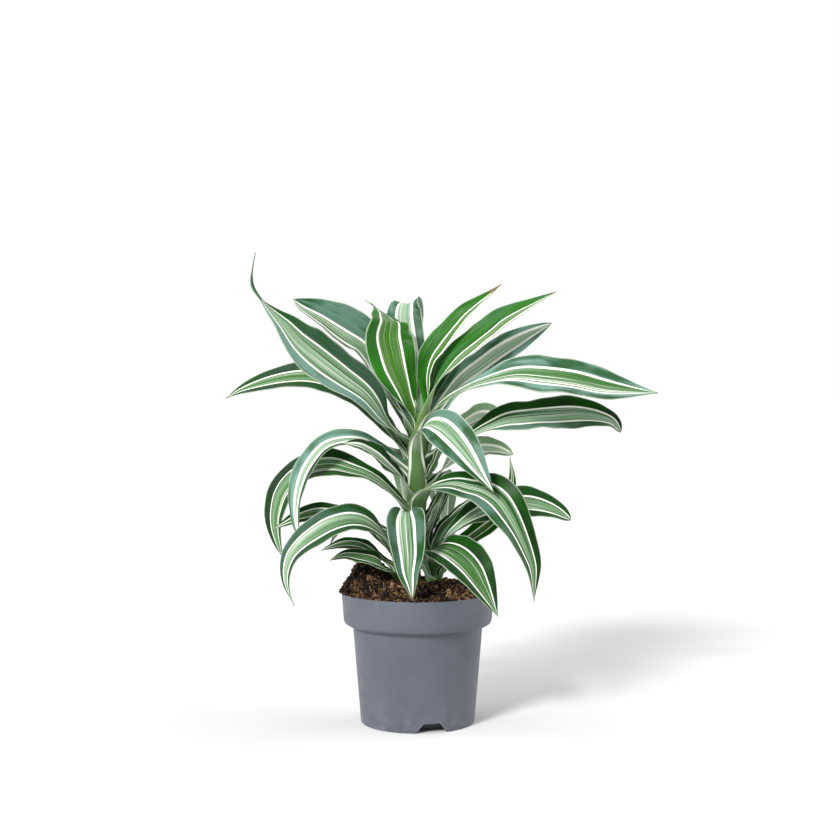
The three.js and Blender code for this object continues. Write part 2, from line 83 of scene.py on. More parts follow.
def makeLight(plan):
    world = bpy.data.worlds.new("room")
    world.use_nodes = True
    tree = world.node_tree
    room = tree.nodes["Background"]
    facing = axes(tree, tree.nodes.new("ShaderNodeTexCoord").outputs["Generated"])["Y"]
    path = tree.nodes.new("ShaderNodeLightPath").outputs
    glow = ramp(tree, facing, *plan["turn"], plan["front"], plan["back"])
    mirrored = ramp(tree, facing, *plan["mirroredTurn"], plan["mirroredFront"], plan["mirroredBack"])
    shiny = path["Is Glossy Ray"]
    plain = maths(tree, "SUBTRACT", 1.0, shiny)
    strength = maths(tree, "MULTIPLY_ADD", glow, plain, times(tree, mirrored, shiny))
    tree.links.new(strength, room.inputs["Strength"])
    backdrop = tree.nodes.new("ShaderNodeBackground")
    backdrop.inputs["Strength"].default_value = plan["backdrop"]
    for background in (room, backdrop):
        background.inputs["Color"].default_value = (1, 1, 1, 1)
    mixed = tree.nodes.new("ShaderNodeMixShader")
    tree.links.new(path["Is Camera Ray"], mixed.inputs[0])
    tree.links.new(room.outputs[0], mixed.inputs[1])
    tree.links.new(backdrop.outputs[0], mixed.inputs[2])
    tree.links.new(mixed.outputs[0], tree.nodes["World Output"].inputs["Surface"])
    bpy.context.scene.world = world
    for name, lamp in plan["lamps"].items():
        data = bpy.data.lights.new(name, "SUN")
        data.angle = math.radians(lamp["spread"])
        data.energy = lamp["strength"]
        lit = bpy.data.objects.new(name, data)
        lit.rotation_euler = (math.radians(90 - lamp["height"]), 0, math.radians(lamp["from"] + 90))
        bpy.context.scene.collection.objects.link(lit)
    bpy.context.scene.view_settings.view_transform = "Standard"


def colour(text):
    # a colour written as on the web, as the linear values that the shader wants
    parts = [int(text[i:i + 2], 16) / 255 for i in (1, 3, 5)]
    return tuple(c / 12.92 if c <= 0.04045 else ((c + 0.055) / 1.055) ** 2.4 for c in parts) + (1,)


def feed(tree, socket, value):
    # joins a socket, or sets a plain value
    if isinstance(value, bpy.types.NodeSocket):
        tree.links.new(value, socket)
    else:
        socket.default_value = value


def maths(tree, operation, first, second=0.0, third=0.0, clamp=False):
    node = tree.nodes.new("ShaderNodeMath")
    node.operation = operation
    node.use_clamp = clamp
    for socket, value in zip(node.inputs, (first, second, third)):
        feed(tree, socket, value)
    return node.outputs[0]


def plus(tree, first, second):
    return maths(tree, "ADD", first, second)


def times(tree, first, second):
    return maths(tree, "MULTIPLY", first, second)


def ramp(tree, value, start, end, low=0.0, high=1.0):
    # goes smoothly from low to high as the value passes from start to end
    node = tree.nodes.new("ShaderNodeMapRange")
    node.interpolation_type = "SMOOTHSTEP"
    for socket, given in zip(node.inputs, (value, start, end, low, high)):
        feed(tree, socket, given)
    return node.outputs[0]


def blend(tree, share, first, second):
    node = tree.nodes.new("ShaderNodeMix")
    node.data_type = "RGBA"
    feed(tree, node.inputs["Factor"], share)
    feed(tree, node.inputs[6], first)
    feed(tree, node.inputs[7], second)
    return node.outputs[2]


def speckle(tree, place, scale, detail, rough=0.5):
    node = tree.nodes.new("ShaderNodeTexNoise")
    feed(tree, node.inputs["Vector"], place)
    node.inputs["Scale"].default_value = scale
    node.inputs["Detail"].default_value = detail
    node.inputs["Roughness"].default_value = rough
    return node.outputs["Fac"]


def attribute(tree, name):
    node = tree.nodes.new("ShaderNodeAttribute")
    node.attribute_name = name
    return node.outputs["Fac"]


def axes(tree, place):
    node = tree.nodes.new("ShaderNodeSeparateXYZ")
    tree.links.new(place, node.inputs[0])
    return node.outputs


def together(tree, x, y, z):
    node = tree.nodes.new("ShaderNodeCombineXYZ")
    for socket, value in zip(node.inputs, (x, y, z)):
        feed(tree, socket, value)
    return node.outputs[0]


def objectPlace(tree):
    return tree.nodes.new("ShaderNodeTexCoord").outputs["Object"]


def newGroup(name, inputs, outputs):
    group = bpy.data.node_groups.new(name, "ShaderNodeTree")
    kinds = {"colour": "NodeSocketColor", "value": "NodeSocketFloat"}
    for way, sockets in (("INPUT", inputs), ("OUTPUT", outputs)):
        for title, kind in sockets.items():
            group.interface.new_socket(name=title, in_out=way, socket_type=kinds[kind])
    entry = group.nodes.new("NodeGroupInput")
    leave = group.nodes.new("NodeGroupOutput")
    return group, entry.outputs, leave.inputs


def placeGroup(tree, group, values):
    node = tree.nodes.new("ShaderNodeGroup")
    node.node_tree = group
    for title, value in values.items():
        feed(tree, node.inputs[title], value)
    return node.outputs


def newMaterial(name, shader):
    material = bpy.data.materials.new(name)
    material.use_nodes = True
    tree = material.node_tree
    skin = tree.nodes["Principled BSDF"]
    for title, value in shader.items():
        skin.inputs[title].default_value = value
    return material, tree, skin


def paintSkin(tree, skin, base, roughness, height, strength, distance):
    # joins a material's colour, roughness and bump
    tree.links.new(base, skin.inputs["Base Color"])
    tree.links.new(roughness, skin.inputs["Roughness"])
    node = tree.nodes.new("ShaderNodeBump")
    node.inputs["Strength"].default_value = strength
    node.inputs["Distance"].default_value = distance
    tree.links.new(height, node.inputs["Height"])
    tree.links.new(node.outputs[0], skin.inputs["Normal"])


def toMesh(name, bm):
    mesh = bpy.data.meshes.new(name)
    bm.to_mesh(mesh)
    bm.free()
    return mesh


def keepMesh(name, bm, materials, smooth=True):
    mesh = toMesh(name, bm)
    for material in materials:
        mesh.materials.append(material)
    if smooth:
        mesh.shade_smooth()
    piece = bpy.data.objects.new(name, mesh)
    bpy.context.scene.collection.objects.link(piece)
    return piece


def spinOutline(outline, steps, rounded=()):
    # an outline from the axis and back to it, with some corners rounded, turned about the axis
    bm = bmesh.new()
    corners = [bm.verts.new((radius * mm, 0, height * mm)) for radius, height in outline]
    for before, after in zip(corners, corners[1:]):
        bm.edges.new((before, after))
    for index, size in rounded:
        bmesh.ops.bevel(bm, geom=[corners[index]], offset=size * mm, segments=4, profile=0.5,
                        affect="VERTICES", material=-1)
    bmesh.ops.spin(bm, geom=bm.verts[:] + bm.edges[:], axis=(0, 0, 1), cent=(0, 0, 0),
                   angle=2 * math.pi, steps=steps, use_merge=True)
    bmesh.ops.remove_doubles(bm, verts=bm.verts[:], dist=0.004 * mm)
    bmesh.ops.dissolve_degenerate(bm, edges=bm.edges[:], dist=0.002 * mm)
    bmesh.ops.recalc_face_normals(bm, faces=bm.faces[:])
    return bm


def cutAndJoin(piece, cutters, operation):
    # applies a boolean with each cutter and takes the cutters away
    for cutter in cutters:
        tool = piece.modifiers.new(operation, "BOOLEAN")
        tool.operation = operation
        tool.object = cutter
        tool.solver = "EXACT"
    bpy.context.view_layer.update()
    solved = piece.evaluated_get(bpy.context.evaluated_depsgraph_get())
    mesh = bpy.data.meshes.new_from_object(solved)
    piece.modifiers.clear()
    piece.data = mesh
    for cutter in cutters:
        bpy.data.objects.remove(cutter)


# the plastic pot
potPlan = {
    "height": 103,
    "rimRadius": 60,
    "bandHeight": 25.5,
    "bandLowRadius": 58.2,
    "bandRounding": 4,
    "bodyTopRadius": 51.2,
    "footRadius": 44.8,
    "footEdge": 0.5,
    "groove": ((3.4, 0), (2.6, 0.7), (1.9, 0)),  # under the foot: in from its edge, and up
    "wall": 1.3,
    "floor": 1.6,
    "floorCorner": (1.5, 1),  # in from the wall, and up
    "steps": 160,
    "dark": "#50545f",
    "light": "#585c67",
    "dust": "#72757b",
    "dustHeight": 0.03,  # metres
    "worn": "#74787f",
}
notchPlan = {
    "headings": (-76, 44, 164),
    "footWidth": 26,
    "topWidth": 13,
    "height": 7.5,
    "depth": 13,
    "roof": 1.3,
    "slot": (4, 7),  # across and along the notch
    "slotDepth": 6,
}


def makePlasticMaterial(plan):
    # grey moulded plastic: faint cloudy tone, fine matt texture, dust towards the foot
    material, tree, skin = newMaterial("potPlastic", {"Roughness": 0.5, "Specular IOR Level": 0.45})
    place = objectPlace(tree)
    cloud = speckle(tree, place, 22, 3)
    grain = speckle(tree, place, 2600, 2, 0.6)
    smear = speckle(tree, place, 90, 4, 0.65)
    lowDust = ramp(tree, axes(tree, place)["Z"], plan["dustHeight"], 0.0, 0.0, 0.5)
    base = blend(tree, ramp(tree, cloud, 0.3, 0.7), colour(plan["dark"]), colour(plan["light"]))
    dust = times(tree, lowDust, ramp(tree, smear, 0.4, 0.7))
    base = blend(tree, dust, base, colour(plan["dust"]))
    base = blend(tree, ramp(tree, smear, 0.55, 0.8, 0, 0.12), base, colour(plan["worn"]))
    paintSkin(tree, skin, base, ramp(tree, smear, 0.3, 0.75, 0.42, 0.6),
              plus(tree, grain, times(tree, cloud, 0.6)), 0.22, 0.0002)
    return material


def potInside(plan, gap):
    # the outline inside the wall, from the axis up to the band, a gap away from it
    wall = plan["wall"]
    bandFoot = plan["height"] - plan["bandHeight"]
    cornerIn, cornerUp = plan["floorCorner"]
    return [
        (0, plan["floor"] + gap),
        (plan["footRadius"] - wall - cornerIn - gap, plan["floor"] + gap),
        (plan["footRadius"] - wall - gap, plan["floor"] + cornerUp + gap),
        (plan["bodyTopRadius"] - wall - gap, bandFoot + wall + gap),
        (plan["bandLowRadius"] - wall - gap, bandFoot + plan["bandRounding"] + wall + gap),
    ]


def potOutline(plan):
    bandFoot = plan["height"] - plan["bandHeight"]
    outside = [(0, 0)] + [(plan["footRadius"] - inward, up) for inward, up in plan["groove"]]
    outside += [
        (plan["footRadius"], plan["footEdge"]),
        (plan["bodyTopRadius"], bandFoot),
        (plan["bandLowRadius"] - 0.1, bandFoot),
        (plan["rimRadius"], plan["height"]),
        (plan["rimRadius"] - plan["wall"] - 0.2, plan["height"]),
    ]
    return outside + potInside(plan, 0)[::-1]


def turnToHeading(bm, heading):
    bmesh.ops.rotate(bm, verts=bm.verts[:], cent=(0, 0, 0),
                     matrix=Matrix.Rotation(math.radians(heading), 3, "Z"))
    return bm


def notchBlock(plan, heading, grow, reach):
    # a low trapezium block that runs in from the pot's side, and a little below its foot
    bm = bmesh.new()
    bmesh.ops.create_cube(bm, size=1)
    length = plan["depth"] + grow + reach
    high = plan["height"] + grow
    start = potPlan["footRadius"] - plan["depth"] - grow
    for vert in bm.verts:
        top = vert.co.z > 0
        width = (plan["topWidth"] if top else plan["footWidth"]) + 2 * grow
        vert.co = Vector((start + (vert.co.x + 0.5) * length, vert.co.y * width, high if top else -1)) * mm
    return turnToHeading(bm, heading)


def drainSlot(plan, heading):
    bm = bmesh.new()
    bmesh.ops.create_cube(bm, size=1)
    across, along = plan["slot"]
    bmesh.ops.scale(bm, vec=(along * mm, across * mm, plan["slotDepth"] * mm), verts=bm.verts[:])
    middle = (potPlan["footRadius"] - plan["depth"] / 2, plan["topWidth"] / 4, plan["height"])
    bmesh.ops.translate(bm, vec=Vector(middle) * mm, verts=bm.verts[:])
    return turnToHeading(bm, heading)


def makePot(plan, notch, material):
    # corners of the outline, from the foot's edge to the lip, and how far each is rounded
    rounded = ((4, 0.7), (5, 0.5), (6, plan["bandRounding"]), (7, 0.5), (8, 0.3))
    pot = keepMesh("pot_shell", spinOutline(potOutline(plan), plan["steps"], rounded), [material])
    # the notches' housings are kept within this cone, inside the pot's outer face
    low, high, ease = 0.4, 15, 0.6
    within = [(0, low), (plan["footRadius"] - ease, low), (plan["footRadius"] + ease, high), (0, high)]
    housings = []
    for heading in notch["headings"]:
        housing = keepMesh("housing", notchBlock(notch, heading, notch["roof"], 0), [])
        cutAndJoin(housing, [keepMesh("within", spinOutline(within, plan["steps"]), [])], "INTERSECT")
        housings.append(housing)
    cutAndJoin(pot, housings, "UNION")
    spaces = [keepMesh("space", notchBlock(notch, heading, 0, 10), [])
              for heading in notch["headings"]]
    spaces += [keepMesh("slot", drainSlot(notch, heading), []) for heading in notch["headings"]]
    cutAndJoin(pot, spaces, "DIFFERENCE")
    pot.data.shade_smooth()
    pot.data.set_sharp_from_angle(angle=math.radians(32))
    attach(pot, "root")
    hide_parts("pot")


# the heaped soil
soilPlan = {
    "rimLevel": 101.5,
    "crown": 9,
    "moundRise": 22,
    "moundAt": (-43, 12),
    "moundReach": 19,
    "clods": 1.1,
    "edgeSharpness": 14,
    "gap": 0.3,  # between the soil and the pot
    # how close together and how high: broad lumps, small lumps, grit and pits
    "relief": ((0.16, 1.6), (0.42, 1.1), (1.1, 0.55), (2.3, 0.5)),
    "sink": 0.5,
    "rings": 76,
    "steps": 216,
}
crumbPlan = {
    "count": 3600,
    "shapes": 9,
    "seed": 7,
    "size": (0.55, 2.1),  # the smallest, and how much larger the largest is
    "lift": (-0.15, 0.35),  # as a share of the size
    "spilled": 480,
    # where crumbs lie over the rim: degrees, their spread, and how steeply they lean
    "spills": ((186, 15, 1.7), (188, 12, 1.4), (0, 8, 0.1)),
    "spilledSize": (0.5, 0.4),
    "overRim": 1.4,
    "heapDepth": 7,  # how far in from there they lie where they lean
    "flatDepth": 4,  # and elsewhere
}
fibrePlan = {
    "count": 900,
    "shapes": 8,
    "seed": 8,
    "size": (1, 3),
    "lift": (0.3, 1.1),
    "tilt": 0.3,
    "clearOfRim": 2.5,
}
soilTones = {
    # dark, brown and the light specks
    "soilBed": ("#0a0603", "#24150c", "#86633f"),
    "soilCrumbs": ("#0e0704", "#4d301c", "#d0b088"),
    "soilFibres": ("#573a21", "#b8935e", "#eed8b2"),
}


def makeSoilMaterial(name):
    dark, brown, light = (colour(text) for text in soilTones[name])
    material, tree, skin = newMaterial(name, {"Roughness": 0.95, "Specular IOR Level": 0.2})
    place = objectPlace(tree)
    lumps = speckle(tree, place, 420, 5, 0.65)
    dots = speckle(tree, place, 1900, 2, 0.6)
    tone = attribute(tree, "tone")
    shade = plus(tree, times(tree, lumps, 0.6), times(tree, tone, 0.5))
    base = blend(tree, ramp(tree, shade, 0.3, 0.75), dark, brown)
    specks = plus(tree, dots, times(tree, tone, 0.12))
    base = blend(tree, ramp(tree, specks, 0.66, 0.74, 0, 0.8), base, light)
    paintSkin(tree, skin, base, ramp(tree, lumps, 0.2, 0.8, 0.8, 1.0),
              plus(tree, lumps, times(tree, dots, 0.5)), 0.7, 0.0008)
    return material


def soilHeight(plan, x, y):
    # the same heaped surface as the solid's
    share = min(1, math.hypot(x, y) / (potPlan["rimRadius"] - potPlan["wall"]))
    moundX, moundY = plan["moundAt"]
    away = math.hypot(x - moundX, y - moundY) / plan["moundReach"]
    edge = 1 - share ** plan["edgeSharpness"]
    clods = math.sin(x * 0.42 + 1.3 * math.sin(y * 0.31)) * math.cos(y * 0.47 + 0.8 * math.sin(x * 0.23))
    return (plan["rimLevel"] + plan["crown"] * (1 - share ** 2.2)
            + edge * (plan["moundRise"] * math.exp(-away * away) + plan["clods"] * clods))


def roughSoil(plan, x, y):
    # clods and pits on the heaped surface
    spot = Vector((x, y, 0))
    broad, small, grit, pits = (noise.noise(spot * close) * high for close, high in plan["relief"])
    return soilHeight(plan, x, y) + (broad + small) + (grit + abs(pits)) - plan["sink"]


def patchTone(x, y):
    # broad darker and lighter patches laid at random: below 0 is dark, above 0 light
    wide = noise.noise(Vector((x * 0.075, y * 0.075, 3.7)))
    return wide + 0.6 * noise.noise(Vector((x * 0.2, y * 0.2, 9.1)))


def makeSoil(plan, material):
    gap = plan["gap"]
    edge = potPlan["rimRadius"] - potPlan["wall"] - gap - 0.2
    outline = potInside(potPlan, gap)
    outline += [(edge * ring / plan["rings"], plan["rimLevel"]) for ring in range(plan["rings"], -1, -1)]
    bm = spinOutline(outline, plan["steps"])
    tone = bm.verts.layers.float.new("tone")
    for vert in bm.verts:
        x, y, z = vert.co / mm
        if z > plan["rimLevel"] - 0.01:
            vert.co.z = roughSoil(plan, x, y) * mm
        vert[tone] = 0.3 + 0.5 * noise.noise(Vector((x, y, z)) * 0.35) + 0.35 * patchTone(x, y)
    soil = keepMesh("soil_bed", bm, [material])
    blocks = [keepMesh("block", notchBlock(notchPlan, heading, notchPlan["roof"] + gap, 0), [])
              for heading in notchPlan["headings"]]
    cutAndJoin(soil, blocks, "DIFFERENCE")
    soil.data.shade_smooth()
    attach(soil, "root")
    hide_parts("soil")


def crumbShape(draw):
    # a rough lump of 20 faces
    bm = bmesh.new()
    bmesh.ops.create_icosphere(bm, subdivisions=1, radius=1)
    for vert in bm.verts:
        vert.co *= 0.72 + 0.5 * draw.random()
    stretch = (0.8 + 0.6 * draw.random(), 0.7 + 0.4 * draw.random(), 0.5 + 0.4 * draw.random())
    bmesh.ops.scale(bm, vec=stretch, verts=bm.verts[:])
    return toMesh("crumb", bm)


def fibreShape(draw):
    # a bent thread: a triangle drawn out in five steps, each turned a little
    bm = bmesh.new()
    bmesh.ops.create_circle(bm, cap_ends=True, segments=3, radius=0.05)
    face = bm.faces[:]
    for step in range(5):
        drawn = bmesh.ops.extrude_face_region(bm, geom=face)["geom"]
        if step:
            bmesh.ops.delete(bm, geom=face, context="FACES_ONLY")
        ends = [item for item in drawn if isinstance(item, bmesh.types.BMVert)]
        face = [item for item in drawn if isinstance(item, bmesh.types.BMFace)]
        middle = sum((vert.co for vert in ends), Vector()) / len(ends)
        turn = Euler((draw.uniform(-0.4, 0.4), draw.uniform(-0.4, 0.4), 0)).to_matrix()
        bmesh.ops.rotate(bm, verts=ends, cent=middle, matrix=turn)
        normal = face[0].normal.copy()
        face[0].normal_update()
        normal = face[0].normal if face[0].normal.length else normal
        bmesh.ops.translate(bm, verts=ends, vec=normal * 0.4)
    bmesh.ops.translate(bm, verts=bm.verts[:], vec=(0, 0, -1))
    bmesh.ops.recalc_face_normals(bm, faces=bm.faces[:])
    return toMesh("fibre", bm)


def strew(name, shapes, places, material):
    # copies of the shapes, each with its own place and tone, as one piece
    whole = bmesh.new()
    batch = 120  # joined in batches, which is much faster
    for start in range(0, len(places), batch):
        bm = bmesh.new()
        tone = bm.verts.layers.float.new("tone")
        for shape, matrix, shade in places[start:start + batch]:
            count = len(bm.verts)
            bm.from_mesh(shapes[shape])
            fresh = bm.verts[count:]
            bmesh.ops.transform(bm, matrix=matrix, verts=fresh)
            for vert in fresh:
                vert[tone] = shade
        mesh = toMesh("batch", bm)
        whole.from_mesh(mesh)
        bpy.data.meshes.remove(mesh)
    for shape in shapes:
        bpy.data.meshes.remove(shape)
    piece = keepMesh(name, whole, [material], smooth=False)
    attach(piece, "root")


def spotOnSoil(draw, reach):
    angle = draw.uniform(0, 2 * math.pi)
    radius = math.sqrt(draw.random()) * reach
    x = radius * math.cos(angle)
    y = radius * math.sin(angle)
    return Vector((x, y, roughSoil(soilPlan, x, y)))


def placeShape(spot, turn, size):
    return Matrix.Translation(spot * mm) @ turn.to_matrix().to_4x4() @ Matrix.Scale(size * mm, 4)


def makeCrumbs(plan, material):
    draw = random.Random(plan["seed"])
    shapes = [crumbShape(draw) for _ in range(plan["shapes"])]
    reach = potPlan["rimRadius"] - potPlan["wall"] + 0.2
    smallest, more = plan["size"]
    least, share = plan["spilledSize"]
    places = []
    for number in range(plan["count"]):
        size = smallest + more * draw.random() ** 3
        spot = spotOnSoil(draw, reach - size)
        spot.z += size * draw.uniform(*plan["lift"])
        if number < plan["spilled"]:
            # these lean on the heap and lie over the rim
            size = least + share * size
            heading, spread, lean = draw.choice(plan["spills"])
            angle = math.radians(draw.gauss(heading, spread))
            inward = draw.uniform(0, plan["heapDepth"] if lean > 1 else plan["flatDepth"])
            away = potPlan["rimRadius"] + plan["overRim"] - inward
            high = potPlan["height"] + 0.6 * size + inward * draw.uniform(0, lean)
            spot = Vector((away * math.cos(angle), away * math.sin(angle), high))
        turn = Euler([draw.uniform(0, 6.3) for _ in range(3)])
        shade = draw.random() + 0.9 * patchTone(spot.x, spot.y)
        places.append((draw.randrange(len(shapes)), placeShape(spot, turn, size), shade))
    strew("soil_crumbs", shapes, places, material)


def makeFibres(plan, material):
    draw = random.Random(plan["seed"])
    shapes = [fibreShape(draw) for _ in range(plan["shapes"])]
    reach = potPlan["rimRadius"] - potPlan["wall"] - plan["clearOfRim"]
    shortest, more = plan["size"]
    places = []
    for _ in range(plan["count"]):
        spot = spotOnSoil(draw, reach)
        size = shortest + more * draw.random() ** 2
        spot.z += draw.uniform(*plan["lift"])
        tilt = math.pi / 2 + draw.gauss(0, plan["tilt"])
        turn = Euler((tilt, 0, draw.uniform(0, 6.3)))
        places.append((draw.randrange(len(shapes)), placeShape(spot, turn, size), draw.random()))
    strew("soil_fibres", shapes, places, material)


# the three stems
shoots = {
    "main": {"foot": (-5, 0, 68), "top": (2, 2, 243), "footRadius": 6.5, "topRadius": 3.6},
    "left": {"foot": (-16, 1, 72), "top": (-15, 0, 133), "footRadius": 4.2, "topRadius": 3},
    "right": {"foot": (13, 2, 72), "top": (13, 1, 136), "footRadius": 4.5, "topRadius": 3},
}
stemPlan = {
    "steps": 28,
    "ringSpacing": 6,
    # each ring's outline: how far along its stretch of the stem, and how far out
    "ring": ((0, -0.25), (0.7, -0.35), (0.9, 0.05)),
    "swell": 0.05,
    "low": "#39502a",
    "high": "#4a6f33",
    "bark": "#9a9468",
    "change": (0.12, 0.16),  # metres: where the low colour passes into the high one
}


def makeStemMaterial(plan):
    material, tree, skin = newMaterial("stemBark", {"Roughness": 0.6, "Specular IOR Level": 0.35})
    place = objectPlace(tree)
    cloud = speckle(tree, place, 60, 4, 0.6)
    grain = speckle(tree, place, 700, 3)
    rise = ramp(tree, plus(tree, axes(tree, place)["Z"], times(tree, cloud, 0.03)), *plan["change"])
    base = blend(tree, rise, colour(plan["low"]), colour(plan["high"]))
    base = blend(tree, ramp(tree, cloud, 0.55, 0.85, 0, 0.35), base, colour(plan["bark"]))
    paintSkin(tree, skin, base, ramp(tree, grain, 0.2, 0.8, 0.5, 0.75), grain, 0.3, 0.0003)
    return material


def onShoot(name, height):
    shoot = shoots[name]
    foot = Vector(shoot["foot"])
    top = Vector(shoot["top"])
    share = (height - foot.z) / (top.z - foot.z)
    radius = shoot["footRadius"] + (shoot["topRadius"] - shoot["footRadius"]) * share
    return foot.lerp(top, share), radius


def makeStem(name, plan, material):
    # a tapering stem with a raised ring at each old leaf foot
    shoot = shoots[name]
    length = shoot["top"][2] - shoot["foot"][2]
    joints = round(length / plan["ringSpacing"])
    outline = [(0, 0)]
    for step in range(joints):
        low = step / joints
        radius = shoot["footRadius"] + (shoot["topRadius"] - shoot["footRadius"]) * low
        outline += [(radius + out, (low + part / joints) * length) for part, out in plan["ring"]]
    outline += [(shoot["topRadius"] * 0.7, length + 0.8), (0, length + 2.2)]
    bm = spinOutline(outline, plan["steps"])
    lean = (Vector(shoot["top"]) - Vector(shoot["foot"])) / length
    for vert in bm.verts:
        high = vert.co.z
        swell = 1 + plan["swell"] * noise.noise(vert.co * 160)
        vert.co = Vector((vert.co.x * swell + lean.x * high, vert.co.y * swell + lean.y * high, high))
    bmesh.ops.translate(bm, vec=Vector(shoot["foot"]) * mm, verts=bm.verts[:])
    stem = keepMesh("stalk_" + name, bm, [material])
    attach(stem, "root")
    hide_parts("stem_" + name)


# what all leaves share
leafPlan = {
    "thickness": 0.45,
    "stations": 84,
    "columns": 18,
    "railSteps": 16,
    "sheath": 13,  # how far a leaf's base runs down its stem
    "wrap": 1.4,  # half the angle that the base closes round the stem
    "clearance": 0.5,  # from the stem to the base
    "layer": 0.4,  # how much further out each lower base lies
    "layerReach": 20,  # how far up a base still lies inside
    "opening": 0.2,  # the share of the leaf over which its base opens
    "neckWidth": 13,
    "neckPower": 1.3,
    "tipWidth": (2.2, 1.6),  # at the base, and how much less at the tip
    "whisker": 2.7,  # width of a thin tip
    "whiskerBulge": (1.6, 0.88, 0.035),  # its width, place and length
    # how often the waves of the margin come, and how far the two sides differ
    "waves": (19, 2.1),
    "fineWaves": (53, 1.3),
    "fineWave": 0.025,
    "rib": (0.45, 0.07),  # the pressed midrib: depth and half width
    "folds": (0.16, 16),  # the ribs beside it: height and closeness
    "baseShare": {"upper": 0.6, "under": 0.95},  # how green the leaf bases are
}
# what a leaf has where its own row doesn't say otherwise
usualLeaf = {
    "roll": (0, 0),  # degrees that the blade is turned about its midrib, from base to tip
    "neck": 0.04,  # the share of the length that stays narrow
    "point": 1.1,  # below 1 the tip is blunt, above 1 it is drawn out
    "tail": 0,  # the share of the length that is a thin whisker
    "cup": 0.2,
    "wave": 0.1,
    "dry": 0.012,  # the share of the length that has dried at the tip
    "shift": 0,  # how far the stripes lie to one side
    "young": False,  # brighter green
    # painted shade, in part: leaves deep in the plant show the darker, greener upper colours on their
    # lower face too
    "inner": False,  # its lower face is as dark as its upper one
}


def blade(shoot, at, heading, width, broad, look, through, **own):
    return usualLeaf | {"shoot": shoot, "at": at, "heading": heading, "width": width,
                        "broad": broad, "look": look, "through": through} | own


innerLook = (0.66, 0.16, 0.25, 0.4, 0, 0)  # for the small leaves inside the right shoot
